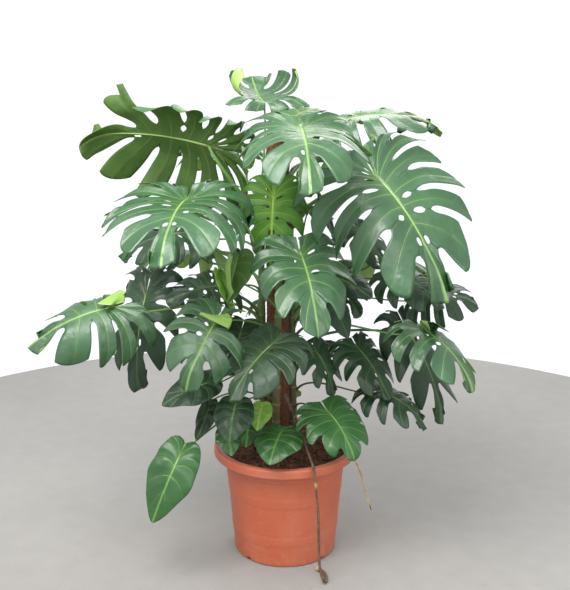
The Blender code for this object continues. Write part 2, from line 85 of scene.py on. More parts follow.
def join(shapes):
    """One shape from several. A value that a shape doesn't have is 0 on it."""
    starts = np.cumsum([0] + [len(part["points"]) for part in shapes])
    keys = sorted({key for part in shapes for key in part["values"]})
    values = {}
    for key in keys:
        columns = [part["values"].get(key, np.zeros(len(part["points"]))) for part in shapes]
        values[key] = np.concatenate(columns)
    return {
        "points": np.concatenate([part["points"] for part in shapes]),
        "faces": np.concatenate([part["faces"] + start for part, start in zip(shapes, starts)]),
        "finish": np.concatenate([part["finish"] for part in shapes]),
        "values": values,
    }


def make_piece(name, whole, finishes, slot, *nodes):
    """Puts a shape in the scene as a smooth mesh that rides on the plant and replaces its nodes."""
    mesh = bpy.data.meshes.new(name)
    faces = whole["faces"].astype(np.int32)
    mesh.vertices.add(len(whole["points"]))
    mesh.vertices.foreach_set("co", whole["points"].astype(np.float32).ravel())
    mesh.loops.add(faces.size)
    mesh.loops.foreach_set("vertex_index", faces.ravel())
    mesh.polygons.add(len(faces))
    mesh.polygons.foreach_set("loop_start", np.arange(0, faces.size, 3, dtype=np.int32))
    mesh.polygons.foreach_set("material_index", whole["finish"].astype(np.int32))
    for key, value in whole["values"].items():
        layer = mesh.attributes.new(key, "FLOAT", "POINT")
        layer.data.foreach_set("value", value.astype(np.float32))
    for finish in finishes:
        mesh.materials.append(finish)
    mesh.update()
    mesh.validate()
    mesh.shade_smooth()
    piece = bpy.data.objects.new(name, mesh)
    bpy.context.collection.objects.link(piece)
    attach(piece, "root")
    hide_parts(*nodes)
    return piece


def grid_faces(rows, columns, closed=False):
    """Two triangles for each cell of a grid of points; closed joins the last column to the first."""
    row = np.arange(rows - 1)[:, None]
    column = np.arange(columns if closed else columns - 1)[None, :]
    near = row * columns + column
    beside = row * columns + (column + 1) % columns
    lower = np.stack([near, beside, beside + columns], -1).reshape(-1, 3)
    upper = np.stack([near, beside + columns, near + columns], -1).reshape(-1, 3)
    return np.concatenate([lower, upper])


print(f"a grid of 3 by 4 points has {len(grid_faces(3, 4))} triangles")

# %% [markdown]
# ## Roughness that repeats each run
#
# Bark, soil and leaves are never even. A sum of a few sine waves in seeded directions gives a smooth
# bumpy field that can be read at any point in space, and it comes out the same on every run. It is
# cheaper than a true noise, and no neighbour tables are needed.

# %% A smooth bumpy field
def bumps(points, size, seed, waves=9):
    """A sum of sine waves, each in its own direction and near one length, over the square root of
    their number. It is mostly between -1 and 1, and with nine waves never beyond 3."""
    rng = np.random.default_rng(seed)
    ways = rng.normal(size=(waves, 3))
    ways /= np.linalg.norm(ways, axis=1)[:, None]
    lengths = size * rng.uniform(0.7, 1.5, waves)
    starts = rng.uniform(0, 2 * math.pi, waves)
    turns = points @ (ways * (2 * math.pi / lengths)[:, None]).T + starts
    return np.sin(turns).sum(-1) / math.sqrt(waves)


def relief(points, layers):
    """Bumpy fields added up: each layer is (height, size, seed)."""
    return sum(height * bumps(points, size, seed) for height, size, seed in layers)


def unit(vectors):
    """Vectors of length 1, along the last axis."""
    return vectors / np.maximum(np.linalg.norm(vectors, axis=-1, keepdims=True), 1e-12)


line = bumps(np.linspace((0, 0, 0), (10, 0, 0), 500), 1.0, 1)
print(f"along a line the bumps run from {line.min():.2f} to {line.max():.2f}")

# %% [markdown]
# ## Round things that follow a path
#
# Stalks, stems, roots, ribs and coir fibres are all tubes: a circle carried along a path, with its
# own radius at each step. The circle must not spin as the path bends, so each ring keeps the last
# ring's sideways direction, made square to the new one. A curve object with a bevel would make the
# same tube, but it could not carry swellings, scars and values for the finish.

# %% Tubes and smooth paths
def end_fans(first_ring, last_ring, sides, start_pole, end_pole):
    """Triangles that close a tube: a fan round each pole, from the numbers of their first points."""
    turn = np.arange(sides)
    beside = (turn + 1) % sides
    start = np.stack([np.full(sides, start_pole), first_ring + beside, first_ring + turn], -1)
    end = np.stack([np.full(sides, end_pole), last_ring + turn, last_ring + beside], -1)
    return np.concatenate([start, end])


def tube(path, radii, sides, finish=0, **values):
    """A ring of points round each place on a path, at its radius and square to the way the path
    goes: the place, plus the radius times side * cos(angle) + other * sin(angle). Both ends are
    closed by a point on the path."""
    path = np.asarray(path, float)
    radii = np.broadcast_to(radii, len(path))
    tangent = unit(np.gradient(path, axis=0))
    side = np.zeros_like(path)
    last = np.cross(tangent[0], np.eye(3)[np.argmin(np.abs(tangent[0]))])
    for i, along in enumerate(tangent):
        last = unit(last - along * (last @ along))
        side[i] = last
    other = np.cross(tangent, side)
    angle = np.arange(sides) * 2 * math.pi / sides
    ring = side[:, None] * np.cos(angle)[None, :, None] + other[:, None] * np.sin(angle)[None, :, None]
    points = path[:, None] + ring * np.asarray(radii)[:, None, None]
    count = len(path) * sides
    fans = end_fans(0, count - sides, sides, count, count + 1)
    faces = np.concatenate([grid_faces(len(path), sides, closed=True), fans])
    points = np.concatenate([points.reshape(-1, 3), path[:1], path[-1:]])
    spread = {}
    for key, value in values.items():
        value = np.broadcast_to(value, len(path))
        spread[key] = np.concatenate([np.repeat(value, sides), value[:1], value[-1:]])
    return shape(points, faces, finish, **spread)


def smooth_path(knots, steps):
    """Points on a smooth curve through the knots: between two knots, a cubic whose slope at each
    knot is half the way from the knot before to the knot after (Catmull-Rom)."""
    knots = np.asarray(knots, float)
    padded = np.concatenate([knots[:1], knots, knots[-1:]])
    before, start, end, after = padded[:-3], padded[1:-2], padded[2:-1], padded[3:]
    t = (np.arange(steps) / steps)[None, :, None]
    before, start, end, after = (part[:, None] for part in (before, start, end, after))
    curve = 0.5 * (
        2 * start
        + (end - before) * t
        + (2 * before - 5 * start + 4 * end - after) * t**2
        + (3 * start - before - 3 * end + after) * t**3
    )
    return np.concatenate([curve.reshape(-1, 3), knots[-1:]])


bend = smooth_path(((0, 0, 0), (0, 0, 1), (0, 1, 1)), 8)
print(f"a bend through 3 knots has {len(bend)} places")
print(f"a tube of 6 sides along it has {len(tube(bend, 0.1, 6)['faces'])} triangles")

# %% [markdown]
# ## Writing finishes as arithmetic
#
# A finish is a small program: noise here, a stripe there, one colour mixed over another. Wired by
# hand it is a page of nodes. Wrapping a socket in a class with +, - and * lets a finish read like a
# formula, and each sign adds its Math node. Colours are mixed with Mix nodes, since a Math node
# would turn them grey.

# %% Node arithmetic
class Value:
    """A node's output. Arithmetic on it adds Math nodes to its finish."""

    def __init__(self, finish, socket):
        self.finish = finish
        self.socket = socket

    def __add__(self, other):
        return self.finish.math("ADD", self, other)

    def __radd__(self, other):
        return self.finish.math("ADD", other, self)

    def __sub__(self, other):
        return self.finish.math("SUBTRACT", self, other)

    def __rsub__(self, other):
        return self.finish.math("SUBTRACT", other, self)

    def __mul__(self, other):
        return self.finish.math("MULTIPLY", self, other)

    def __rmul__(self, other):
        return self.finish.math("MULTIPLY", other, self)


class Finish:
    """A material under construction. node() adds any node, and the other methods name common ones."""

    def __init__(self, name):
        self.material = bpy.data.materials.new(name)
        self.material.use_nodes = True
        self.tree = self.material.node_tree
        self.shader = self.tree.nodes["Principled BSDF"]
        self.output = self.tree.nodes["Material Output"]
        self.place = self.node("ShaderNodeTexCoord", {}, {}, "Object")

    def feed(self, socket, value):
        """Gives a socket a link, a colour or a number."""
        if isinstance(value, Value):
            self.tree.links.new(value.socket, socket)
        elif isinstance(value, tuple) and len(value) == 3 and socket.type == "RGBA":
            socket.default_value = (*value, 1.0)
        else:
            socket.default_value = value

    def node(self, kind, settings, inputs, output=0):
        """Adds a node: its settings first, then a value or a link for each named input."""
        made = self.tree.nodes.new(kind)
        for key, value in settings.items():
            setattr(made, key, value)
        for key, value in inputs.items():
            self.feed(made.inputs[key], value)
        return Value(self, made.outputs[output])

    def math(self, operation, first, second):
        """One sum or product of two values."""
        return self.node("ShaderNodeMath", {"operation": operation}, {0: first, 1: second})

    def sine(self, value):
        """The sine of a value in radians, from -1 to 1."""
        return self.node("ShaderNodeMath", {"operation": "SINE"}, {0: value})

    def read(self, name):
        """A value that the mesh carries for each point."""
        return self.node("ShaderNodeAttribute", {"attribute_name": name}, {}, "Fac")

    def noise(self, scale, detail=3.0, stretch=(1, 1, 1)):
        """Noise from 0 to 1 on the object's own coordinates; scale is in waves a metre."""
        where = self.place
        if stretch != (1, 1, 1):
            where = self.node("ShaderNodeMapping", {}, {"Vector": where, "Scale": stretch})
        return self.node("ShaderNodeTexNoise", {}, {"Vector": where, "Scale": scale, "Detail": detail})

    def step(self, value, start, end):
        """0 at start and 1 at end, smooth between; start may be the larger."""
        settings = {"interpolation_type": "SMOOTHSTEP"}
        return self.node("ShaderNodeMapRange", settings, {"Value": value, "From Min": start, "From Max": end})

    def mix(self, share, first, second):
        """The first colour where share is 0, and the second where it is 1. A Mix node has a socket
        for each kind of value: its colours come in at 6 and 7 and leave at 2."""
        return self.node("ShaderNodeMix", {"data_type": "RGBA"}, {0: share, 6: first, 7: second}, 2)

    def done(self, colour, roughness, height, depth, specular=0.5):
        """Feeds the shader: depth is how many metres of bump a height of 1 makes, and specular is
        the level of the mirror-like part, 0.5 for common plastic."""
        self.feed(self.shader.inputs["Base Color"], colour)
        self.feed(self.shader.inputs["Roughness"], roughness)
        self.shader.inputs["Specular IOR Level"].default_value = specular
        bump = self.node("ShaderNodeBump", {}, {"Height": height, "Distance": depth}, "Normal")
        self.feed(self.shader.inputs["Normal"], bump)
        return self.material


def shaded(colour, factor):
    """A colour made lighter or darker by a factor."""
    return tuple(min(1.0, part * factor) for part in colour)


print("half as bright a white is", shaded((1.0, 1.0, 1.0), 0.5))

# %% [markdown]
# ## Where each leaf is
#
# The plant's solids were drawn from one table, and the same table places the fine leaves here, so
# each lies in the space that its solid holds. A blade has a joint, where the stalk meets it, and a
# tip. The angles say how it turns about its midrib, how far it arches along the midrib, how its two
# halves rise in a V, how they droop to the sides, and how much the lobes behind the joint lift.

# %% The stems and the leaf table
# Name, angle round the pole at the lip, degrees turned per metre, and top above the lip.
STEMS = (
    ("stem_front", -100, 25, 0.930),
    ("stem_left", 150, 35, 0.860),
    ("stem_right", 20, 30, 0.800),
)
STEM_RADIUS = 0.0140
STEM_TIP_RADIUS = 0.0095
STEM_DEPTH = 0.110
STEM_GAP = 0.0015

# Name, stem and height on it; joint and tip, in metres from the middle of the lip; width; then
# degrees of turn, bend, V, droop and lift.
SPLIT_LEAVES = (
    ("upper_left",        1, .72, (-.230,  .005,  .955), (-.617, -.030,  .985), .45,   60,  45,  8,  60,  0),
    ("upper_front_left",  0, .62, (-.280, -.250,  .830), (-.318, -.530,  .720), .48,    4,  40,  8,  50, 60),
    ("top_front",         0, .88, ( .045, -.238, 1.030), ( .066, -.478,  .900), .41,    0,  45,  6,  50, 50),
    ("centre_bright",     0, .70, (-.034, -.100,  .820), (-.042, -.150,  .635), .22,    0,  20,  8,  30,  5),
    ("centre_front",      0, .48, ( .048, -.205,  .660), ( .091, -.370,  .480), .31,    0,  40,  8,  40, 40),
    ("right_front",       2, .70, ( .268, -.150,  .880), ( .452, -.290,  .570), .52,   20,  40,  6,  50, 40),
    ("low_left_front",    0, .36, (-.200, -.250,  .480), (-.283, -.350,  .315), .28,  -30,  40,  6,  50,  0),
    ("far_left",          1, .40, (-.520, -.100,  .480), (-.760, -.160,  .380), .36,  -30,  40,  5,  85, 20),
    ("left_dark",         1, .42, (-.445,  .070,  .475), (-.470,  .020,  .190), .28,    0,  40,  8,  60,  0),
    ("left_inner",        1, .50, (-.205, -.030,  .530), (-.360, -.070,  .490), .23,  -35,  30,  8,  50, 10),
    ("low_centre",        0, .28, (-.038, -.225,  .400), (-.150, -.335,  .275), .27,  -12,  40,  8,  45, 20),
    ("low_right",         2, .10, ( .134, -.170,  .165), ( .205, -.265,  .060), .24,    5,  40,  8,  40, 20),
    ("centre_left_tip",   1, .30, (-.135, -.060,  .395), (-.165, -.165,  .290), .14,  -10,  30,  8,  30, 20),
    ("right_low_front",   2, .34, ( .420, -.150,  .420), ( .550, -.250,  .275), .31,   -5,  45,  8,  65, 15),
    ("right_far",         2, .42, ( .455,  .080,  .480), ( .615,  .040,  .450), .26,   25,  40,  5,  60, 10),
    ("right_mid",         2, .50, ( .350, -.010,  .560), ( .480, -.090,  .480), .22,   20,  40,  5,  50, 20),
    ("right_hanging",     2, .28, ( .400,  .060,  .350), ( .500, -.020,  .090), .24,   10,  40,  8,  55, 20),
    ("right_bottom",      2, .16, ( .300, -.040,  .190), ( .440, -.110,  .100), .21,   10,  40,  5,  55, 10),
    ("right_inner_low",   2, .24, ( .235, -.020,  .320), ( .320, -.100,  .190), .21,   10,  30,  8,  50, 20),
    ("right_dark",        2, .54, ( .235,  .090,  .680), ( .320,  .040,  .570), .18,   15,  30,  8,  40,  0),
    ("top_back",          1, .80, (-.065,  .110, 1.080), (-.110,  .310, 1.150), .36,    0, -30, 10, -25, 10),
    ("top_right_curl",    0, .88, ( .005, -.030, 1.030), ( .110,  .060, 1.060), .22,   15,  40,  8,  50, 10),
    ("top_right",         2, .78, ( .190,  .120, 1.025), ( .490,  .110, 1.005), .32,   12,  40,  8,  50, 10),
    ("centre_right_dark", 2, .56, ( .115,  .045,  .785), ( .150,  .060,  .625), .13,   10,  30,  8,  40,  0),
    ("left_back_upper",   1, .62, (-.330,  .100,  .670), (-.520,  .080,  .600), .26,  -20,  40,  8,  55, 20),
    ("back_high_left",    1, .76, (-.180,  .230,  .930), (-.330,  .480,  .850), .4,    10,  50,  8,  50, 20),
    ("back_high_right",   2, .74, ( .180,  .250,  .900), ( .350,  .490,  .800), .4,   -10,  50,  8,  50, 20),
    ("back_middle",       1, .60, (-.040,  .260,  .740), (-.060,  .540,  .620), .42,    0,  50,  8,  50, 20),
    ("back_left",         1, .52, (-.290,  .240,  .580), (-.480,  .420,  .460), .34,   10,  50,  8,  55, 20),
    ("back_right",        2, .50, ( .290,  .200,  .560), ( .500,  .370,  .440), .36,  -10,  50,  8,  55, 20),
    ("back_low_middle",   1, .34, ( .020,  .250,  .420), ( .040,  .480,  .280), .34,    0,  50,  8,  50, 20),
    ("back_low_left",     1, .22, (-.190,  .190,  .280), (-.330,  .340,  .140), .26,    8,  45,  8,  45, 20),
    ("back_low_right",    2, .22, ( .190,  .170,  .280), ( .320,  .330,  .140), .26,   -8,  45,  8,  45, 20),
    ("inner_right",       2, .46, ( .161,  .046,  .524), ( .231, -.011,  .430), .19,   28,  35,  8,  40, 10),
    ("inner_low_right",   2, .25, ( .100, -.050,  .320), ( .150, -.090,  .200), .16,   10,  35,  8,  40, 10),
)
HEART_LEAVES = (
    ("lime_fold",         0, .46, (-.190, -.140,  .585), (-.155, -.175,  .480), .085,  10,  20, 40,  10,  0),
    ("low_left_oval",     1, .22, (-.235, -.150,  .255), (-.370, -.190,  .195), .12,  -30,  30, 10,  30, 20),
    ("low_dark_heart",    0, .15, (-.150, -.195,  .200), (-.165, -.260,  .105), .12,    0,  30,  8,  30, 20),
    ("low_edge_on",       1, .13, (-.235, -.110,  .165), (-.275, -.145,  .065), .06,  -60,  20, 30,  20, 20),
    ("outside_heart",     1, .07, (-.320, -.210,  .042), (-.400, -.265, -.150), .14,  -40,  30,  8,  30,  0),
    ("front_heart",       0, .06, (-.012, -.175,  .105), (-.045, -.265,  .035), .15,    0,  40,  8,  35, 20),
    ("small_left_heart",  1, .05, (-.178, -.135,  .090), (-.165, -.180,  .028), .08,    0,  30,  8,  30, 20),
    ("small_round",       0, .10, (-.112, -.120,  .110), (-.120, -.165,  .050), .065,   0,  30,  8,  30, 20),
    ("small_lime",        0, .12, (-.072, -.118,  .165), (-.085, -.165,  .105), .07,    0,  30,  8,  30, 20),
    ("right_inner",       2, .46, ( .160, -.050,  .560), ( .260, -.120,  .510), .13,   20,  30,  8,  40, 20),
    ("centre_right_low",  2, .38, ( .130, -.060,  .500), ( .190, -.100,  .380), .12,   10,  30,  8,  30, 20),
    ("olive_fold",        0, .54, (-.140, -.150,  .640), (-.170, -.210,  .520), .13,  -20,  20, 35,  10, 20),
    ("back_heart",        1, .09, (-.020,  .180,  .110), (-.040,  .290,  .010), .16,    0,  35,  8,  35, 20),
)
# For a leaf whose halves droop unequally: above 0, the half on the right, looking from the joint to
# the tip, droops by this share more than the row says, and the other half by as much less
UNEVEN_DROOP = {"upper_front_left": -0.5, "right_front": 0.85, "low_left_front": -0.3}
print(f"{len(STEMS)} stems, {len(SPLIT_LEAVES)} split leaves and {len(HEART_LEAVES)} whole ones")

# %% [markdown]
# ## How each blade is cut and coloured
#
# No two leaves of a monstera are cut alike. Young ones are whole, later ones have a few short
# slits, and the oldest are parted almost to the midrib and pierced beside it. So each leaf says how
# many lobes a half has, how far from the midrib its slits start, how wide they open, and how many
# of the gaps between ribs also carry a hole. Light decides the colour: leaves on top are blue-green
# and glossy, leaves inside the plant are a nearly black-green that is painted shade, and new ones
# are lime.

# %% Cuts and looks
# Name: lobes in a half, where slits start (0 at the midrib, 1 at the edge), how wide they open, the
# share of gaps between lobes that have a hole, and the look
CUTS = {
    "upper_left": (8, 0.24, 0.30, 0.8, "shade"),
    "upper_front_left": (8, 0.30, 0.26, 0.5, "gloss"),
    "top_front": (7, 0.38, 0.20, 0.4, "gloss"),
    "centre_bright": (7, 0.55, 0.17, 0.9, "bright"),
    "centre_front": (6, 0.50, 0.17, 0.3, "gloss"),
    "right_front": (8, 0.34, 0.26, 0.8, "gloss"),
    "low_left_front": (6, 0.42, 0.22, 0.3, "mid"),
    "far_left": (6, 0.26, 0.26, 0.3, "mid"),
    "left_dark": (6, 0.35, 0.25, 0.3, "deep"),
    "left_inner": (6, 0.40, 0.22, 0.3, "deep"),
    "low_centre": (6, 0.62, 0.15, 0.2, "dull"),
    "low_right": (6, 0.72, 0.12, 0.0, "fresh"),
    "centre_left_tip": (5, 0.50, 0.18, 0.0, "deep"),
    "right_low_front": (6, 0.32, 0.26, 0.4, "mid"),
    "right_far": (7, 0.35, 0.25, 0.3, "deep"),
    "right_mid": (6, 0.40, 0.20, 0.3, "deep"),
    "right_hanging": (6, 0.35, 0.25, 0.3, "deep"),
    "right_bottom": (6, 0.35, 0.25, 0.3, "deep"),
    "right_inner_low": (6, 0.42, 0.22, 0.2, "deep"),
    "right_dark": (6, 0.42, 0.20, 0.3, "deep"),
    "top_back": (6, 0.28, 0.26, 0.0, "mid"),
    "top_right_curl": (6, 0.42, 0.20, 0.2, "shade"),
    "top_right": (7, 0.36, 0.25, 0.4, "mid"),
    "centre_right_dark": (5, 0.45, 0.20, 0.2, "deep"),
    "inner_right": (6, 0.42, 0.20, 0.3, "deep"),
    "inner_low_right": (5, 0.45, 0.20, 0.2, "deep"),
    "left_back_upper": (7, 0.36, 0.25, 0.4, "deep"),
    "back_high_left": (8, 0.32, 0.25, 0.5, "mid"),
    "back_high_right": (8, 0.34, 0.25, 0.5, "mid"),
    "back_middle": (8, 0.36, 0.24, 0.6, "gloss"),
    "back_left": (7, 0.36, 0.24, 0.4, "mid"),
    "back_right": (7, 0.34, 0.24, 0.4, "mid"),
    "back_low_middle": (7, 0.42, 0.22, 0.4, "mid"),
    "back_low_left": (6, 0.48, 0.20, 0.2, "deep"),
    "back_low_right": (6, 0.46, 0.20, 0.2, "deep"),
}
# Whole leaves that don't have the "deep" look, the nearly black-green of painted shade
WHOLE_LOOKS = {
    "lime_fold": "lime",
    "small_lime": "lime",
    "olive_fold": "olive",
    "outside_heart": "fresh",
    "front_heart": "fresh",
    "small_left_heart": "fresh",
    "small_round": "fresh",
    "back_heart": "mid",
}
# Lobes that fold or curl: side (-1 or 1), lobe counted from the notch, where the fold starts, the
# share of the rest over which it bends, and degrees (below 0 it bends to the underside)
CURLS = {
    "far_left": ((1, 0, 0.30, 0.15, 170), (1, 1, 0.35, 0.15, 175)),
    "right_low_front": ((-1, 0, 0.25, 0.15, 170), (-1, 1, 0.30, 0.15, 175), (-1, 2, 0.35, 0.15, 170)),
    "low_left_front": ((-1, 1, 0.25, 0.20, 165), (-1, 2, 0.30, 0.20, 165)),
    "top_back": (
        (1, 0, 0.30, 0.9, -75), (-1, 0, 0.30, 0.9, -65), (1, 1, 0.35, 0.9, -60), (-1, 1, 0.40, 0.9, -50),
        (1, 2, 0.45, 0.9, 95), (-1, 2, 0.40, 0.9, 125), (1, 3, 0.45, 0.9, 80), (-1, 3, 0.40, 0.9, 110),
        (1, 4, 0.45, 1.0, 60), (-1, 4, 0.45, 1.0, 70), (1, 5, 0.60, 1.0, 40), (-1, 5, 0.60, 1.0, 40),
    ),
    "upper_left": ((1, 2, 0.6, 1.0, 70), (1, 4, 0.6, 1.0, 60), (-1, 6, 0.6, 1.0, 60)),
    "top_right_curl": ((-1, 2, 0.5, 1.0, -100), (1, 3, 0.5, 1.0, -120)),
    "olive_fold": tuple((1, lobe, 0.25, 0.80, 110) for lobe in range(6)),
    "lime_fold": tuple((-1, lobe, 0.25, 0.80, 120) for lobe in range(6)),
}
print(f"{len(CUTS)} ways to cut a leaf, and {len(CURLS)} leaves with folded or curled lobes")

# %% [markdown]
# ## The flat outline of a blade
#
# A monstera blade is a heart. Its edge is a distance that changes with the angle from the tip, and a
# short cosine series draws that smoothly with four numbers. Inside the heart, a point is named by
# two shares: how far along the edge its rib ends, from the notch to the tip, and how far out along
# that rib it lies. Ribs fan out of the joint at the back, and leave the midrib one after another
# towards the tip, which is what makes a lobed leaf look right.

# %% The outline and the ribs
BACK_ANGLE = 176            # where the notch is, from the tip
FAN_ANGLE = 130             # ribs further back than this all start at the joint
LAST_RIB = 0.60             # how far along the midrib the last pair of ribs starts
FOOT_CROWDING = 1.6         # above 1, the feet of the ribs crowd towards the joint
RIB_BOW = 0.07              # how far a rib bows
OUTLINES = {
    "split": (0.6325, 0.2525, 0.0325, 0.0825),
    "heart": (0.5600, 0.3467, 0.0400, 0.0533),
}
WIDEST = {"split": 0.60, "heart": 0.54}     # half the width of a blade that is 1 long
TIP_ANGLE = 60              # the pinch beside the tip ends here
TIP_PINCH = {"split": 0.035, "heart": 0.100}
TIP_POINT = 0.04            # how far the tip stands out as a point
TIP_SPREAD = 7              # half the angle that the point takes


def edge_distance(form, angle):
    """Joint to edge, for a blade of length 1: a cosine series in the angle from the tip, less a
    squared sine that pinches each side of the tip, and less a bell turned over, which leaves the
    tip itself as a point."""
    turn = np.radians(angle)
    reach = sum(share * np.cos(k * turn) for k, share in enumerate(OUTLINES[form]))
    point = TIP_POINT * (1 - np.exp(-((angle / TIP_SPREAD) ** 2))) * np.cos(1.5 * turn) ** 2
    return reach - np.where(angle < TIP_ANGLE, TIP_PINCH[form] * np.sin(3 * turn) ** 2 + point, 0.0)


def flat_blade(form, along, out, side, aspect):
    """The flat place named by along (0 notch, 1 tip) and out (0 midrib, 1 edge): a rib's foot on the
    midrib, plus the share out of the way from there to the edge, less a bow of 4 out (1 - out). Feet
    move up the midrib as a power of the angle, so they crowd towards the joint."""
    angle = BACK_ANGLE * (1 - along)
    foot = LAST_RIB * np.clip((FAN_ANGLE - angle) / FAN_ANGLE, 0, None) ** FOOT_CROWDING
    reach = edge_distance(form, angle)
    edge_x = reach * np.sin(np.radians(angle)) * aspect
    edge_y = reach * np.cos(np.radians(angle))
    bow = RIB_BOW * 4 * out * (1 - out) * np.sin(np.radians(angle)) ** 0.5
    return side * edge_x * out, foot + (edge_y - foot) * out - bow


edge_angles = np.linspace(0, BACK_ANGLE, 181)
for form in OUTLINES:
    half_width = (edge_distance(form, edge_angles) * np.sin(np.radians(edge_angles))).max()
    print(f"a {form} blade of length 1 is {2 * half_width:.2f} wide")

# %% [markdown]
# ## From flat to hanging
#
# A big leaf arches along its midrib and its halves fold up, then droop. Both are arcs: a distance
# walked on an arc that starts at one angle and turns down steadily has a simple formula. Carrying
# the flat blade over two arcs bends it without stretching it much, as a real leaf bends. A lattice
# modifier could do it too, but each leaf would need its own.

# %% Bending a blade
BACK_SHARE = 0.36           # how far the blade reaches behind its joint, in shares of its length


def arc(distance, start, rate):
    """Along and up after a distance on an arc that leaves at the start angle and turns down by the
    rate: the sines and cosines of the two end angles, taken apart and divided by the rate."""
    rate = np.where(np.abs(rate) < 1e-6, 1e-6, rate)
    end = start - rate * distance
    return (np.sin(start) - np.sin(end)) / rate, (np.cos(end) - np.cos(start)) / rate


class Lie:
    """How a blade lies in space. place() carries there the flat points of a blade of length 1."""

    def __init__(self, form, joint, tip, width, turn, bend, fold, droop, lift, skew=0.0):
        chord = np.subtract(tip, joint)
        distance = np.linalg.norm(chord)
        self.joint = np.array(joint) + (0, 0, LIP_HEIGHT)
        self.ahead = chord / distance
        face = unit(np.array((0, 0, 1.0)) - self.ahead * self.ahead[2])
        turn = math.radians(turn)
        self.face = face * math.cos(turn) + np.cross(self.ahead, face) * math.sin(turn)
        self.across = np.cross(self.ahead, self.face)
        self.start = math.radians(bend) / 2
        self.length = distance * self.start / math.sin(self.start)
        self.turn_rate = 2 * self.start / self.length
        self.lift_rate = -math.radians(lift) / (BACK_SHARE * self.length)
        self.fold = math.radians(fold)
        self.droop_rate = math.radians(droop) / (width / 2)
        self.skew = skew
        self.aspect = width / (2 * WIDEST[form] * self.length)

    def place(self, x, y):
        """An arc along the midrib, then an arc out to the side, on the midrib's own slope."""
        x = np.asarray(x) * self.length
        y = np.asarray(y) * self.length
        rate = np.where(y >= 0, self.turn_rate, self.lift_rate)
        ahead, up = arc(y, self.start, rate)
        slope = (self.start - rate * y)[..., None]
        out, rise = arc(np.abs(x), self.fold, self.droop_rate * (1 + np.sign(x) * self.skew))
        normal = self.face * np.cos(slope) - self.ahead * np.sin(slope)
        spot = self.joint + ahead[..., None] * self.ahead + up[..., None] * self.face
        return spot + (np.sign(x) * out)[..., None] * self.across + rise[..., None] * normal


quarter_ahead, quarter_up = arc(1.0, 0.0, math.pi / 2)
print(f"1 m round a quarter circle ends {quarter_ahead:.2f} m on and {-quarter_up:.2f} m down")

# %% [markdown]
# ## Slits, holes and lobes
#
# The blade is not cut. Each lobe is its own grid of points, from the midrib out and from one slit to
# the next. Where there is no slit the edges of two neighbours have the same points, and are sewn
# together. Where there is one, each lobe's edge draws back by a gap that grows as a square root, so
# the slit's root is round. A hole is the same thing with a gap that opens and closes again, like a
# lens. Booleans would leave ragged triangles along every cut; this leaves clean rows.

# %% The grid of one blade
ROWS = 27                   # rows of points from the midrib to the edge
# Where a lobe's columns lie, as shares of its width: close together at its rib, in the middle
RIB_COLUMNS = np.array((0, 0.10, 0.22, 0.34, 0.43, 0.475, 0.50, 0.525, 0.57, 0.66, 0.78, 0.90, 1))
NOTCH_LOBE = 0.15           # how much wider the lobe at the notch is
TIP_LOBE_LESS = 0.50        # how much narrower the lobe at the tip is
LOBE_JITTER = 0.12          # how far the place between two lobes may shift, in lobes
BACK_CORNER = 0.20          # how much a lobe's back corner is rounded off
FRONT_CORNER = 0.035        # and its front corner
ROOT_JITTER = 0.07          # how far a slit's root may shift
SLIT_WIDTH = 0.62
SLIT_FLARE = 0.70           # how much more a slit opens at the edge
SLIT_JITTER = 0.25          # how much wider or narrower a slit may be
SLIT_NARROWING = 0.6        # the power of out by which a slit narrows from its root to the edge
HOLE_OPEN = 0.15
TIP_SLIT_LESS = 0.15        # how much shorter the slits beside the tip are
NOTCH_SLIT_LESS = 0.35      # and those beside the notch
WHOLE_RIBS = 6


def lobe_gaps(rng, widths, root, opening, holes):
    """For each place between lobes, the row where its slit starts, and half its gap on each row: a
    square root of the way past the start, up to a full gap, with a flare that grows as a square. A
    hole adds the half gap of a lens: the square root of 1 less the squared way from its middle."""
    out = np.linspace(0, 1, ROWS)
    count = len(widths) + 1
    near_tip = np.clip(np.arange(count) - (count - 4), 0, 3) / 3
    near_notch = np.clip(3 - np.arange(count), 0, 2) / 2
    less = TIP_SLIT_LESS * near_tip**2 + NOTCH_SLIT_LESS * near_notch
    start = root + rng.uniform(-ROOT_JITTER, ROOT_JITTER, count) + (1 - root) * less
    start = np.clip(np.round(start * (ROWS - 1)), 3, ROWS - 5).astype(int)
    room = widths.mean()
    root_out = out[start][:, None]
    past = np.clip((out[None] - root_out) / (1 - root_out), 0, 1)
    slit = np.sqrt(np.minimum(past * 6, 1)) * (root_out / np.maximum(out[None], 0.05)) ** SLIT_NARROWING
    slit = slit + SLIT_FLARE * past**2
    wider = rng.uniform(1 - SLIT_JITTER, 1 + SLIT_JITTER, count)[:, None]
    gaps = SLIT_WIDTH * opening * wider * room * slit
    first = rng.integers(2, 4, count)
    last = np.minimum(first + rng.integers(3, 6, count), start - 1)
    pierced = (rng.uniform(0, 1, count) < holes) & (last - first >= 3)
    middle = (first + last)[:, None] / 2
    lens = 1 - ((np.arange(ROWS)[None] - middle) / np.maximum((last - first)[:, None] / 2, 1)) ** 2
    gaps += HOLE_OPEN * room * np.sqrt(np.clip(lens, 0, 1)) * pierced[:, None]
    gaps[[0, -1]] = 0
    start[[0, -1]] = 0
    return start, gaps


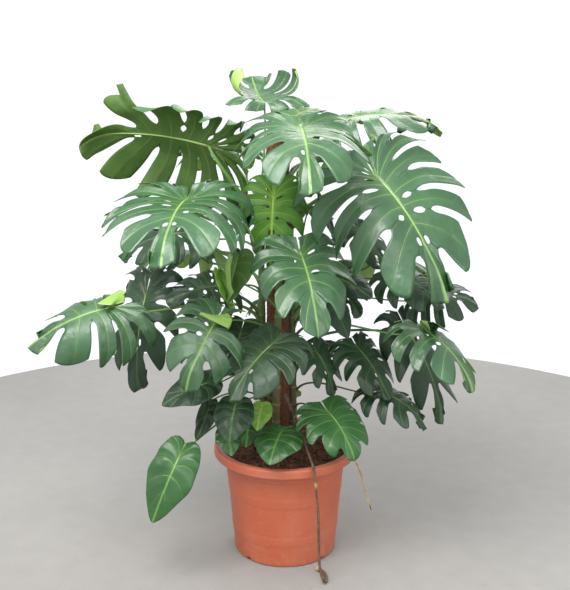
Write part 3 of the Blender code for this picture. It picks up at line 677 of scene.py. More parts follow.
def lobe_grid(form, rng, lobes, root, opening, holes):
    """Along and out for every point of one half, as arrays over lobe, row and column. Between two
    slits, the columns share out what the gaps leave; the outer rows draw in at a lobe's corners, as
    powers of the share across it. Also gives how far out each lobe comes free of its neighbours."""
    if form == "split":
        whole = lobes + NOTCH_LOBE - TIP_LOBE_LESS
        edges = np.concatenate([[0], (np.arange(1, lobes) + NOTCH_LOBE) / whole, [1]])
        edges[1:-1] += rng.uniform(-LOBE_JITTER, LOBE_JITTER, lobes - 1) / lobes
        start, gaps = lobe_gaps(rng, np.diff(edges), root, opening, holes)
    else:
        edges = np.linspace(0, 1, lobes + 1)
        start, gaps = np.zeros(lobes + 1, int), np.zeros((lobes + 1, ROWS))
    low = (edges[:-1, None] + gaps[:-1])[..., None]
    high = (edges[1:, None] - gaps[1:])[..., None]
    middle = ((edges[:-1] + edges[1:]) / 2)[:, None, None]
    before = low + (middle - low) * 2 * RIB_COLUMNS
    along = np.where(RIB_COLUMNS < 0.5, before, middle + (high - middle) * (2 * RIB_COLUMNS - 1))
    out = np.linspace(0, 1, ROWS)[None, :, None] * np.ones_like(along)
    if form == "split":
        corner = BACK_CORNER * (1 - RIB_COLUMNS) ** 2.2 + FRONT_CORNER * RIB_COLUMNS**8
        corner = np.tile(corner, (lobes, 1))
        corner[0] *= RIB_COLUMNS
        corner[-1] *= 1 - RIB_COLUMNS
        out = out * (1 - rng.uniform(0.6, 1.4, (lobes, 1, 1)) * corner[:, None] * out**5)
    free = np.maximum(start[:-1], start[1:]) / (ROWS - 1)
    return along, out, free


test_along, _, test_free = lobe_grid("split", np.random.default_rng(1), 6, 0.35, 0.25, 0.4)
print(f"half a blade of 6 lobes has {test_along.size} points, free from {test_free.round(2)} outwards")

# %% [markdown]
# ## One blade, thick and alive
#
# On the bent grid come the small shapes that make a leaf look grown: it is quilted between its
# ribs, each rib lies in a groove, each free lobe droops and twists its own way, and a few lobes curl
# over and show their pale backs. Last, the sheet gets its thickness: every point is moved half of it
# up for the top and half of it down for the underside, and a rim closes the edge.

# %% Sizes of the small shapes, normals and curls
THICKNESS = 0.0011
RIB_GROOVE = 0.0010
GROOVE_WIDTH = 0.07         # in shares of half a lobe
# These are in shares of the blade's length
QUILT = 0.034               # how far the blade swells up between its ribs
RIPPLE = 0.011
RIPPLE_SIZE = 0.30
LOBE_DROOP = 0.075          # the most that a free lobe droops
LOBE_LIFT = 0.045           # the most that it lifts
LOBE_TWIST = 0.055
LOBE_SAG = 0.07             # how far every free lobe hangs straight down


def point_normals(points, faces):
    """Each point's normal: the sum of its triangles' normals, each as long as twice its area."""
    corners = points[faces]
    face_normals = np.cross(corners[:, 1] - corners[:, 0], corners[:, 2] - corners[:, 0])
    normals = np.zeros_like(points)
    for corner in range(3):
        np.add.at(normals, faces[:, corner], face_normals)
    return unit(normals)


def curl_lobe(points, normals, start, bend, degrees):
    """Folds a lobe's outer rows. Past the start row, the way each step goes turns from outwards to
    the top side, evenly over the bend's share of what is left, and stays so to the end."""
    row = int(start * (ROWS - 1))
    steps = np.linalg.norm(np.diff(points[row:], axis=0), axis=-1)
    walked = np.cumsum(steps, axis=0) - steps / 2
    angle = math.radians(degrees) * np.clip(walked / (bend * steps.sum(axis=0)), 0, 1)
    ahead = unit(points[row + 1] - points[row])
    way = ahead * np.cos(angle)[..., None] + normals[row] * np.sin(angle)[..., None]
    curled = points.copy()
    curled[row + 1 :] = points[row] + np.cumsum(way * steps[..., None], axis=0)
    return curled


print(f"a blade is {1000 * THICKNESS:.1f} mm thick, and its grooves {1000 * RIB_GROOVE:.1f} mm deep")

# %% [markdown]
# ## One closed sheet
#
# Lobes that aren't parted by a slit have the same flat places along their common edge, so equal
# places are found and made one point. A merge by distance in 3-D would also close narrow slits. The
# sheet is then doubled and rimmed here, rather than with a Solidify modifier, so that each point of
# the underside can carry a value that says so.

# %% Sewing the lobes, and giving the sheet its two faces
def sew(x, y):
    """One sheet from every lobe's grid: points whose flat places agree to five decimals become one.
    Gives the triangles, the grid point that each kept point comes from, and the kept point that
    each grid point became."""
    halves, lobes, rows, columns = x.shape
    starts = np.arange(halves * lobes)[:, None, None] * rows * columns
    faces = (grid_faces(rows, columns)[None] + starts).reshape(halves, -1, 3)
    faces[1] = faces[1][:, ::-1]
    places = np.round(np.stack([x.ravel(), y.ravel()], -1) * 1e5).astype(np.int64)
    _, first, sewn = np.unique(places, axis=0, return_index=True, return_inverse=True)
    sewn = sewn.reshape(-1)
    faces = sewn[faces.reshape(-1, 3)]
    whole = (faces[:, 0] != faces[:, 1]) & (faces[:, 1] != faces[:, 2]) & (faces[:, 0] != faces[:, 2])
    return faces[whole], first, sewn


def thickened(points, faces, **values):
    """A closed shape from a sheet: each point plus and minus half the thickness along its normal,
    and two triangles on every side that only one triangle of the sheet has."""
    offset = point_normals(points, faces) * THICKNESS / 2
    sides = np.concatenate([faces[:, [0, 1]], faces[:, [1, 2]], faces[:, [2, 0]]])
    _, index, times = np.unique(np.sort(sides, axis=1), axis=0, return_inverse=True, return_counts=True)
    rim = sides[times[index.reshape(-1)] == 1]
    count = len(points)
    start, end = rim[:, 0], rim[:, 1]
    lower = np.stack([end, start, start + count], -1)
    upper = np.stack([end, start + count, end + count], -1)
    doubled = {key: np.tile(value, 2) for key, value in values.items()}
    return shape(
        np.concatenate([points + offset, points - offset]),
        np.concatenate([faces, faces[:, ::-1] + count, lower, upper]),
        under=np.repeat((0.0, 1.0), count),
        **doubled,
    )


square = np.array(((0, 0, 0), (1, 0, 0), (0, 1, 0), (1, 1, 0)), float)
print(f"a thickened square has {len(thickened(square, grid_faces(2, 2))['faces'])} triangles")

# %% [markdown]
# ## Putting a blade together
#
# The steps follow how a leaf grows: flat places first, then the bend, then everything that lifts a
# point off the bent sheet, and last the folded lobes. The distances to the ribs are measured on the
# result, since the finish draws its ribs from them.

# %% The whole blade
def blade_lift(form, lie, rng, seed, points, across, out, loose):
    """How far each point rises off the plain bent blade: a swell that grows towards a lobe's sides,
    less a bell along its rib, plus ripples, and a droop and a twist for each free lobe."""
    size = lie.length
    lift = QUILT * size * np.abs(across) ** 1.5 * out * (1 - 0.4 * out)
    lift = lift - RIB_GROOVE * np.exp(-((across / GROOVE_WIDTH) ** 2)) * np.sqrt(out)
    lift = lift + RIPPLE * size * bumps(points, RIPPLE_SIZE * size, seed) * out
    if form == "split":
        each_lobe = (*points.shape[:2], 1, 1)
        droops = rng.uniform(-1.0, LOBE_LIFT / LOBE_DROOP, each_lobe) * LOBE_DROOP
        twists = rng.uniform(-1, 1, each_lobe) * LOBE_TWIST
        lift = lift + size * (droops + twists * across) * loose**2
    return lift


def blade_shape(form, lie, cut, curls, seed):
    """The whole blade: two halves of lobes, sewn, lifted along their normals, and thickened."""
    rng = np.random.default_rng(seed)
    x, y, columns_along, columns_out, loose = [], [], [], [], []
    for side in (-1, 1):
        along, out, free = lobe_grid(form, rng, *cut)
        flat = flat_blade(form, along, out, side, lie.aspect)
        x.append(flat[0])
        y.append(flat[1])
        columns_along.append(along)
        columns_out.append(out)
        loose.append(np.clip((out - free[:, None, None]) / (1 - free[:, None, None] + 1e-9), 0, 1))
    x, y, out, loose = (np.array(part) for part in (x, y, columns_out, loose))
    faces, first, sewn = sew(x, y)
    points = lie.place(x, y)
    normals = point_normals(points.reshape(-1, 3)[first], faces)[sewn].reshape(points.shape)
    across = 2 * RIB_COLUMNS - 1
    points = points + normals * blade_lift(form, lie, rng, seed, points, across, out, loose)[..., None]
    if form == "split":
        points[..., 2] -= LOBE_SAG * lie.length * loose**2
    for side, lobe, begin, bend, degrees in curls:
        half = (side + 1) // 2
        points[half, lobe] = curl_lobe(points[half, lobe], normals[half, lobe], begin, bend, degrees)

    width = np.linalg.norm(points[..., -1, :] - points[..., 0, :], axis=-1)[..., None]
    reach = edge_distance(form, BACK_ANGLE * (1 - np.array(columns_along)))
    return thickened(
        points.reshape(-1, 3)[first],
        faces,
        rib_way=(np.abs(across) / 2 * width).reshape(-1)[first],
        rib_out=(out * reach * lie.length).reshape(-1)[first],
        mid_way=np.abs(x.reshape(-1)[first]) * lie.length,
    )


test_lie = Lie("heart", (0, 0, 0), (0, -0.3, 0), 0.25, 0, 30, 8, 30, 20)
test_blade = blade_shape("heart", test_lie, (WHOLE_RIBS, 0, 0, 0), (), 1)
print(f"a whole blade 0.3 m from joint to tip has {len(test_blade['faces'])} triangles")

# %% [markdown]
# ## Stalks and midribs
#
# A stalk leaves its stem in a sheath, climbs, arches over and meets the blade from behind, at a
# swollen joint that turns the blade to the light. Its path is a cubic Bezier from the stem to the
# joint. The midrib is the stalk carried on into the blade: a fine cone, half sunk in the sheet,
# proud mostly on the underside.

# %% The stalk and the midrib
STALK_SHARE = 0.0175        # a stalk's radius in shares of its blade's length
STALK_TAPER = 0.62          # its radius at the blade, in shares of that at the stem
STALK_LEAST = 0.0030
STALK_MOST = 0.0068
STALK_RISE = 62             # how steeply a stalk leaves its stem
STALK_RINGS = 40
STALK_SIDES = 12
SHEATH_SWELL = 0.45         # how much thicker the sheath is
JOINT_SWELL = 0.30          # and the joint at the blade
JOINT_AT = 0.96
MIDRIB_RINGS = 30
MIDRIB_SIDES = 8
MIDRIB_END = 0.96           # where on the blade the midrib fades out
MIDRIB_SHARE = 0.55         # its radius at the joint, in shares of the stalk's
MIDRIB_TIP = 0.0006


def stem_point(index, height):
    """The middle of a stem: a slow helix that lies against the pole."""
    _, start, turn, _ = STEMS[index]
    angle = np.radians(start + turn * height)
    reach = POLE_RADIUS + STEM_RADIUS + STEM_GAP
    x = POLE_X + reach * np.cos(angle)
    y = POLE_Y + reach * np.sin(angle)
    return np.stack([x, y, LIP_HEIGHT + height], -1)


def stem_radius(index, height):
    """A stem's radius, which goes evenly from one value at the lip to the other at its top."""
    return STEM_RADIUS + (STEM_TIP_RADIUS - STEM_RADIUS) * np.clip(height / STEMS[index][3], 0, 1)


def stalk_shape(stem, at, lie):
    """A tube on a cubic Bezier, wide at the sheath and swollen again just before the blade."""
    thick = min(STALK_MOST, max(STALK_LEAST, STALK_SHARE * lie.length))
    middle = stem_point(stem, np.float64(at))
    outward = lie.joint - middle
    outward[2] = 0
    outward = unit(outward)
    rise = math.radians(STALK_RISE)
    leave = outward * math.cos(rise) + np.array((0, 0, math.sin(rise)))
    begin = middle + outward * (stem_radius(stem, at) * 0.6)
    normal = lie.face * math.cos(lie.start) - lie.ahead * math.sin(lie.start)
    tangent = lie.ahead * math.cos(lie.start) + lie.face * math.sin(lie.start)
    arrive = unit(normal * 0.75 + tangent * 0.55)
    reach = np.linalg.norm(lie.joint - begin)
    first = begin + leave * reach * 0.36
    second = lie.joint - arrive * reach * 0.30
    t = np.linspace(0, 1, STALK_RINGS)[:, None]
    path = begin * (1 - t) ** 3 + first * 3 * t * (1 - t) ** 2 + second * 3 * t**2 * (1 - t)
    path = path + lie.joint * t**3
    t = t[:, 0]
    sheath = SHEATH_SWELL * np.exp(-((t / 0.10) ** 2))
    joint = JOINT_SWELL * np.exp(-(((t - JOINT_AT) / 0.035) ** 2))
    radii = thick * (1 - (1 - STALK_TAPER) * t) * (1 + sheath + joint)
    return tube(path, radii, STALK_SIDES, 1, along=t), thick


def midrib_shape(lie, thick):
    """A tapering tube along the blade's own arch, from the joint to just short of the tip."""
    t = np.linspace(0, MIDRIB_END, MIDRIB_RINGS)
    path = lie.place(np.zeros_like(t), t)
    radii = MIDRIB_TIP + (thick * MIDRIB_SHARE - MIDRIB_TIP) * (1 - t) ** 1.3
    slope = (lie.start - lie.turn_rate * lie.length * t)[:, None]
    normal = lie.face * np.cos(slope) - lie.ahead * np.sin(slope)
    return tube(path - normal * radii[:, None] * 0.45, radii, MIDRIB_SIDES, 2, along=t)


print(f"stalks are {2000 * STALK_LEAST:.0f} to {2000 * STALK_MOST:.1f} mm thick at the stem")

# %% [markdown]
# ## What a leaf's surface looks like
#
# A monstera leaf is waxy and slightly uneven. Its midrib and side ribs are pale lime, the blade
# between them is mottled, and fine veins run off each rib at a slant. The underside is paler and
# less glossy. The mesh carries the distance from each point to its rib and to the midrib, so the
# ribs are sharp lines drawn by arithmetic, whatever the size of the triangles. Thin blades also
# glow a little when light comes from behind, which a small share of a Translucent shader gives.

# %% Leaf finishes
# Look: colours of the top, of the underside and of the ribs; roughness and specular level
LEAF_LOOKS = {
    "gloss": ((0.026, 0.092, 0.032), (0.110, 0.230, 0.060), (0.240, 0.420, 0.100), 0.28, 0.85),
    # The mid look's lime underside is a paler leaf back with painted glow of light from behind
    "mid": ((0.024, 0.086, 0.030), (0.280, 0.470, 0.085), (0.220, 0.400, 0.090), 0.28, 0.90),
    "fresh": ((0.017, 0.086, 0.014), (0.150, 0.300, 0.070), (0.130, 0.290, 0.055), 0.28, 0.70),
    "dull": ((0.020, 0.050, 0.022), (0.090, 0.180, 0.060), (0.110, 0.200, 0.060), 0.38, 0.60),
    # The deep look is painted shade: a nearly black-green for leaves inside the plant
    "deep": ((0.009, 0.038, 0.012), (0.060, 0.130, 0.035), (0.070, 0.150, 0.040), 0.34, 0.60),
    # The bright look is a young leaf's yellow-green with painted glow of light from behind
    "bright": ((0.036, 0.125, 0.003), (0.110, 0.280, 0.015), (0.260, 0.450, 0.050), 0.44, 0.40),
    "lime": ((0.200, 0.400, 0.055), (0.300, 0.520, 0.090), (0.400, 0.600, 0.150), 0.42, 0.50),
    "olive": ((0.050, 0.110, 0.024), (0.220, 0.380, 0.080), (0.240, 0.380, 0.100), 0.42, 0.50),
    "shade": ((0.030, 0.115, 0.026), (0.055, 0.125, 0.016), (0.260, 0.300, 0.100), 0.34, 0.50),
}
# How far from a rib its line starts, and where the line is full; the same for the soft band beside
# it, for the midrib, and for the ribs' pale start at the joint
RIB_LINE = (0.0022, 0.0004)
RIB_HALO = (0.012, 0.001)
MIDRIB_LINE = (0.0048, 0.0016)
PALE_START = (0.20, 0.03)
VEIN_SPACING = 0.0075
VEIN_SLANT = 0.8            # how far a fine vein slants towards the edge as it leaves its rib
LEAF_BUMP = 0.0012
GLOW_SHARE = 0.22
GLOW_GREEN = (0.20, 0.42, 0.03)


def leaf_finish(look):
    """Blade: mottled top and paler underside, with ribs, midrib and slanted fine veins."""
    top, under_colour, rib_colour, gloss, specular = LEAF_LOOKS[look]
    leaf = Finish("leaf_" + look)
    rib_way = leaf.read("rib_way")
    rib_out = leaf.read("rib_out")
    under = leaf.step(leaf.read("under"), 0.3, 0.7)
    cloud = leaf.step(leaf.noise(9, 3), 0.30, 0.70)
    mottle = leaf.noise(70, 4)
    grain = leaf.noise(420, 2)
    rib = leaf.step(rib_way, *RIB_LINE)
    halo = leaf.step(rib_way, *RIB_HALO)
    main = leaf.step(leaf.read("mid_way"), *MIDRIB_LINE)
    heart = leaf.step(rib_out, 0.045, 0.0)
    slant = leaf.sine((rib_out - rib_way * VEIN_SLANT + mottle * 0.004) * (2 * math.pi / VEIN_SPACING))
    fine = leaf.step(slant, 0.80, 1.0)
    colour = leaf.mix(cloud, shaded(top, 0.78), shaded(top, 1.22))
    colour = leaf.mix(mottle * 0.35, colour, shaded(top, 1.5))
    colour = leaf.mix(fine * 0.10 + halo * 0.06, colour, rib_colour)
    pale = leaf.mix(cloud, shaded(under_colour, 0.82), shaded(under_colour, 1.12))
    pale = leaf.mix(fine * 0.30, pale, shaded(under_colour, 1.5))
    colour = leaf.mix(under, colour, pale)
    near = leaf.step(rib_out, *PALE_START)
    colour = leaf.mix(rib * (near * 0.36 + 0.07) + heart * 0.12, colour, rib_colour)
    colour = leaf.mix(main * 0.80, colour, rib_colour)
    roughness = gloss + cloud * 0.13 + under * 0.20 + rib * 0.08
    height = cloud * 3.5 + mottle * 0.45 + grain * 0.10 - fine * 0.14 - rib * 0.35
    leaf.done(colour, roughness, height, LEAF_BUMP, specular=specular)
    glow = leaf.node("ShaderNodeBsdfTranslucent", {}, {"Color": leaf.mix(0.45, colour, GLOW_GREEN)})
    skin = Value(leaf, leaf.shader.outputs[0])
    both = leaf.node("ShaderNodeMixShader", {}, {0: GLOW_SHARE, 1: skin, 2: glow})
    leaf.feed(leaf.output.inputs["Surface"], both)
    return leaf.material


leaf_finishes = {look: leaf_finish(look) for look in LEAF_LOOKS}
print(f"{len(leaf_finishes)} leaf looks")

# %% [markdown]
# ## Stalks and midribs
#
# A stalk is brown and dry where it sheathes the stem, and green and smooth near the blade, with fine
# streaks along it. One function serves all three kinds, which differ only in their colours: a stalk
# in the light, one in the shade, and the lime midrib.

# %% Stalk and midrib finishes
SHEATH_BROWN = (0.16, 0.11, 0.05)
SPECK_GREEN = (0.40, 0.46, 0.20)
STALK_BUMP = 0.0006


def stalk_finish(name, base, upper):
    """Stalk: darker and browner at the sheath, streaked along its length, and a little speckled."""
    stalk = Finish(name)
    along = stalk.read("along")
    streak = stalk.noise(300, 3, (1, 1, 0.08))
    speck = stalk.step(stalk.noise(520, 2), 0.62, 0.72)
    colour = stalk.mix(along, base, upper)
    colour = stalk.mix(streak * 0.45, colour, shaded(upper, 1.4))
    colour = stalk.mix(stalk.step(along, 0.10, 0.0) * 0.6, colour, SHEATH_BROWN)
    colour = stalk.mix(speck * 0.25, colour, SPECK_GREEN)
    return stalk.done(colour, 0.38 + streak * 0.18, streak + speck * 0.4, STALK_BUMP)


green_stalk = stalk_finish("stalk_green", (0.055, 0.130, 0.030), (0.120, 0.240, 0.050))
dark_stalk = stalk_finish("stalk_dark", (0.025, 0.065, 0.018), (0.050, 0.120, 0.026))
midrib_lime = stalk_finish("midrib_lime", (0.300, 0.470, 0.130), (0.170, 0.330, 0.070))
print("finishes for", green_stalk.name, dark_stalk.name, midrib_lime.name)

# %% [markdown]
# ## All the leaves
#
# Each row of the tables becomes one piece: blade, stalk and midrib joined, since a leaf grows as one.
# The seed comes from the row's place in the table, so a leaf keeps its own ripples and slits on
# every run.

# %% Make the leaves
FIRST_LEAF_SEED = 11


def make_leaf(form, row, seed):
    """One leaf, in place of its solid."""
    name, stem, at, joint, tip, width, *angles = row
    if form == "split":
        *cut, look = CUTS[name]
    else:
        cut, look = (WHOLE_RIBS, 0, 0, 0), WHOLE_LOOKS.get(name, "deep")
    lie = Lie(form, joint, tip, width, *angles, skew=UNEVEN_DROOP.get(name, 0.0))
    stalk, thick = stalk_shape(stem, at, lie)
    blade = blade_shape(form, lie, cut, CURLS.get(name, ()), seed)
    whole = join([blade, stalk, midrib_shape(lie, thick)])
    # The dark stalk is painted shade, like the deep look of the leaves inside the plant
    stalk_colour = dark_stalk if look == "deep" else green_stalk
    slot = "leaf_green" if form == "split" else "young_leaf_green"
    node = "leaf_" + name
    return make_piece(node + "_grown", whole, (leaf_finishes[look], stalk_colour, midrib_lime), slot, node)


leaf_pieces = []
for form, rows in (("split", SPLIT_LEAVES), ("heart", HEART_LEAVES)):
    for row in rows:
        leaf_pieces.append(make_leaf(form, row, FIRST_LEAF_SEED + len(leaf_pieces)))
leaf_faces = sum(len(piece.data.polygons) for piece in leaf_pieces)
print(f"{len(leaf_pieces)} leaves, {leaf_faces} triangles")

# %% [markdown]
# ## The pot
#
# A nursery pot is blown or injected in one piece: a tapering wall, a plain collar and a lip rolled
# out and down, which stiffens the rim and gives fingers a hold. Its section is a list of corners
# with a radius at each, turned round the axis. Turning a rounded section keeps every edge soft,
# as moulded plastic is, which a bevel on a faceted shape would not. Two faint bands of relief run
# round the wall, and four notches under it let water out.

# %% Turned surfaces
def rounded(corners, steps=6):
    """Section from (radius, height, rounding) corners: each corner becomes a curve that starts and
    ends its rounding's length before and after it (a quadratic Bezier through the corner)."""
    corners = np.asarray(corners, float)
    spots = corners[:, :2]
    before = np.roll(spots, 1, axis=0)
    after = np.roll(spots, -1, axis=0)
    reach = corners[:, 2:3]
    to_before = np.linalg.norm(before - spots, axis=1)[:, None]
    to_after = np.linalg.norm(after - spots, axis=1)[:, None]
    begin = spots + unit(before - spots) * np.minimum(reach, to_before / 2)
    end = spots + unit(after - spots) * np.minimum(reach, to_after / 2)
    t = np.linspace(0, 1, steps)[None, :, None]
    curve = begin[:, None] * (1 - t) ** 2 + spots[:, None] * 2 * t * (1 - t) + end[:, None] * t**2
    kept = [curve[i] if corners[i, 2] > 0 else spots[i : i + 1] for i in range(len(corners))]
    return np.concatenate(kept)


def refined(section, spacing):
    """The same section with extra points, so that no step of it is longer than the spacing."""
    pieces = []
    for start, end in zip(section[:-1], section[1:]):
        count = max(1, math.ceil(np.linalg.norm(end - start) / spacing))
        pieces.append(start + (end - start) * (np.arange(count) / count)[:, None])
    return np.concatenate([*pieces, section[-1:]])


def turned(section, segments):
    """Turns a section that starts and ends on the axis: each of its points becomes a ring at
    (radius cos(angle), radius sin(angle), height), and the first and last become poles."""
    angle = np.arange(segments) * 2 * math.pi / segments
    body = section[1:-1]
    radius = body[:, 0][:, None]
    height = np.broadcast_to(body[:, 1][:, None], (len(body), segments))
    points = np.stack([radius * np.cos(angle), radius * np.sin(angle), height], -1).reshape(-1, 3)
    count = len(points)
    poles = np.array([(0, 0, section[0, 1]), (0, 0, section[-1, 1])])
    fans = end_fans(0, count - segments, segments, count, count + 1)
    faces = np.concatenate([grid_faces(len(body), segments, closed=True), fans])
    return np.concatenate([points, poles]), faces


corner = rounded(((0, 0, 0), (1, 0, 0.2), (1, 1, 0)))
print(f"one rounded corner and two sharp ones make {len(corner)} points")

# %% [markdown]
# ## The pot's section
#
# The section is drawn from the sizes that a pot maker would give: how deep and wide the lip is, how
# far it stands out, how high the collar is, how much the wall tapers and how thick it is. Every
# corner is worked out from them, so the lip and the collar stay together when a size changes.

# %% The pot's section
LIP_DROP = 0.028
LIP_WIDTH = 0.021
LIP_OVERHANG = 0.0325       # how far the lip stands out from the collar
SKIRT_WALL = 0.0035
COLLAR_STEP = 0.0065        # how far the collar stands out from the wall
COLLAR_HEIGHT = 0.033
WALL_TAPER = 0.026          # how much smaller the wall's radius is at the foot
POT_WALL = 0.0045
FLOOR_THICKNESS = 0.005
POT_SEGMENTS = 288
POT_SPACING = 0.005
COLLAR_RADIUS = LIP_RADIUS - LIP_OVERHANG
WALL_TOP_RADIUS = COLLAR_RADIUS - COLLAR_STEP
BASE_RADIUS = WALL_TOP_RADIUS - WALL_TAPER
LIP_BOTTOM = LIP_HEIGHT - LIP_DROP
COLLAR_BOTTOM = LIP_BOTTOM - COLLAR_HEIGHT


def pot_section():
    """The wall's outline from the axis under the floor, out and up to the lip, and down inside."""
    lip_inner = LIP_RADIUS - LIP_WIDTH
    inner_base = BASE_RADIUS - POT_WALL
    corners = (
        (0, 0, 0),
        (BASE_RADIUS * 0.86, 0, 0.004),
        (BASE_RADIUS * 0.87, 0.002, 0.002),
        (BASE_RADIUS * 0.93, 0.002, 0.002),
        (BASE_RADIUS * 0.94, 0, 0.004),
        (BASE_RADIUS, 0, 0.005),
        (WALL_TOP_RADIUS, COLLAR_BOTTOM - 0.001, 0.004),
        (COLLAR_RADIUS, COLLAR_BOTTOM + 0.001, 0.004),
        (COLLAR_RADIUS, LIP_BOTTOM + SKIRT_WALL, 0.003),
        (LIP_RADIUS - SKIRT_WALL, LIP_BOTTOM + SKIRT_WALL, 0.001),
        (LIP_RADIUS - SKIRT_WALL, LIP_BOTTOM, 0.001),
        (LIP_RADIUS, LIP_BOTTOM, 0.002),
        (LIP_RADIUS, LIP_HEIGHT, 0.009),
        (lip_inner, LIP_HEIGHT, 0.009),
        (COLLAR_RADIUS - POT_WALL, LIP_BOTTOM, 0.010),
        (COLLAR_RADIUS - POT_WALL, COLLAR_BOTTOM, 0.006),
        (inner_base, FLOOR_THICKNESS, 0.008),
        (0, FLOOR_THICKNESS, 0),
    )
    return refined(rounded(corners), POT_SPACING)


print(f"the pot's section has {len(pot_section())} points, from {BASE_RADIUS:.3f} m out at the foot")

# %% [markdown]
# ## Bands and notches
#
# The turned shape is the same all round. What isn't, comes from moving its points: outwards on the
# bands, inwards at the four notches, and a hair's breadth up and down along the lip, which is never
# quite flat on a real pot. Cutting the notches with a boolean would break the even rows.

# %% The pot's relief
BANDS = ((0.072, 0.100), (0.208, 0.240))    # from and to, above the floor
BAND_RELIEF = 0.0010
BAND_EDGE = 0.002
NOTCH_WIDTH = 0.018
NOTCH_HEIGHT = 0.009
NOTCH_DEPTH = 0.010
NOTCH_EDGE = 0.0018
LIP_WAVE = 0.0007


def pot_shape():
    """The turned section, with the bands raised, the notches pressed in and the lip a little wavy.
    A band or a notch is a ramp from 0 to 1 over the width of its edge, added to the radius."""
    points, faces = turned(pot_section(), POT_SEGMENTS)
    radius = np.hypot(points[:, 0], points[:, 1])
    angle = np.degrees(np.arctan2(points[:, 1], points[:, 0]))
    height = points[:, 2]
    below_collar = height < COLLAR_BOTTOM
    wall_radius = BASE_RADIUS + (WALL_TOP_RADIUS - BASE_RADIUS) * height / COLLAR_BOTTOM
    outer = (np.abs(radius - wall_radius) < 0.0015) & below_collar
    rise = np.zeros(len(points))
    for low, high in BANDS:
        edge = np.minimum(height - low, high - height)
        rise += BAND_RELIEF * np.clip(edge / BAND_EDGE, 0, 1)
    from_notch = np.radians(np.abs((angle % 90) - 45)) * BASE_RADIUS
    across = np.clip((NOTCH_WIDTH / 2 - from_notch) / NOTCH_EDGE + 0.5, 0, 1)
    upward = np.clip((NOTCH_HEIGHT - height) / NOTCH_EDGE + 0.5, 0, 1)
    at_foot = (radius > BASE_RADIUS * 0.95) & below_collar & (radius > wall_radius - 0.0035)
    moved = radius + rise * outer - NOTCH_DEPTH * across * upward * at_foot
    scale = np.where(radius > 0, moved / np.maximum(radius, 1e-9), 1)
    points[:, :2] *= scale[:, None]
    lip = np.clip((radius - COLLAR_RADIUS) / LIP_OVERHANG, 0, 1) * (height > COLLAR_BOTTOM)
    points[:, 2] -= LIP_WAVE * lip * (1 + bumps(points * (1, 1, 0), 0.25, 5)) / 2
    return shape(points, faces)


print(f"{len(BANDS)} bands {1000 * BAND_RELIEF:.0f} mm proud, and 4 notches {1000 * NOTCH_WIDTH:.0f} mm wide")

# %% [markdown]
# ## Terracotta-coloured plastic
#
# The colour is even, since it is mixed into the plastic. Age shows in thin layers over it: paler
# scuffs where pots rub together, dried splashes near the foot, and a little dust. Each layer is a
# noise cut off by a smooth step, mixed in weakly.

# %% The pot's finish, and the pot
TERRACOTTA = (0.405, 0.086, 0.037)
PALE_TERRACOTTA = (0.480, 0.116, 0.056)
SCUFFED = (0.640, 0.250, 0.160)
SPLASHED = (0.420, 0.270, 0.190)
DUSTY = (0.620, 0.400, 0.300)
POT_BUMP = 0.0003


def pot_finish():
    """Moulded terracotta-coloured plastic: faint flow marks, fine texture, scuffs and settled dust."""
    pot = Finish("pot_terracotta")
    where = pot.node("ShaderNodeSeparateXYZ", {}, {"Vector": pot.place}, "Z")
    flow = pot.noise(14, 3, (1, 1, 0.25))
    fine = pot.noise(900, 2)
    scuff = pot.step(pot.noise(60, 5, (1, 1, 3)), 0.60, 0.72)
    splash = pot.step(pot.noise(38, 4), 0.48, 0.66)
    low = pot.step(where, 0.10, 0.0)
    dust = pot.step(pot.noise(6, 4), 0.45, 0.75)
    colour = pot.mix(flow, TERRACOTTA, PALE_TERRACOTTA)
    colour = pot.mix(scuff * 0.30, colour, SCUFFED)
    colour = pot.mix(low * splash * 0.22, colour, SPLASHED)
    colour = pot.mix(dust * 0.10, colour, DUSTY)
    roughness = 0.40 + flow * 0.10 + scuff * 0.15 + dust * 0.10
    return pot.done(colour, roughness, fine * 0.5 + scuff * 0.2 + flow * 0.3, POT_BUMP)


pot_piece = make_piece("pot_moulded", pot_shape(), [pot_finish()], "pot_plastic", "pot")
print(f"pot: {len(pot_piece.data.polygons)} triangles")

# %% [markdown]
# ## The soil
#
# Potting soil is peat and bark: dark, crumbly, with lumps of every size. A turned body gets a top
# that rises and falls, and several hundred small lumps lie half sunk in it. Each lump is one small
# bumpy ball, stretched and turned its own way by arrays, so the whole scatter is a single mesh.

# %% Soil
SOIL_SEGMENTS = 180
SOIL_SPACING = 0.0035
SOIL_GAP = 0.0012           # between the soil and the pot's wall
SOIL_SINK = 0.0015          # how far the mean level of the fine soil lies below the solid's top
SOIL_LAYERS = ((0.0030, 0.09, 21), (0.0014, 0.025, 22), (0.0007, 0.009, 23))
CRUMBS = 620
CRUMB_LEAST = 0.0022
CRUMB_MOST = 0.0085
CRUMB_SEED = 31


def soil_height(points):
    """How much the soil's top rises or falls at each place."""
    return relief(points * (1, 1, 0), SOIL_LAYERS)


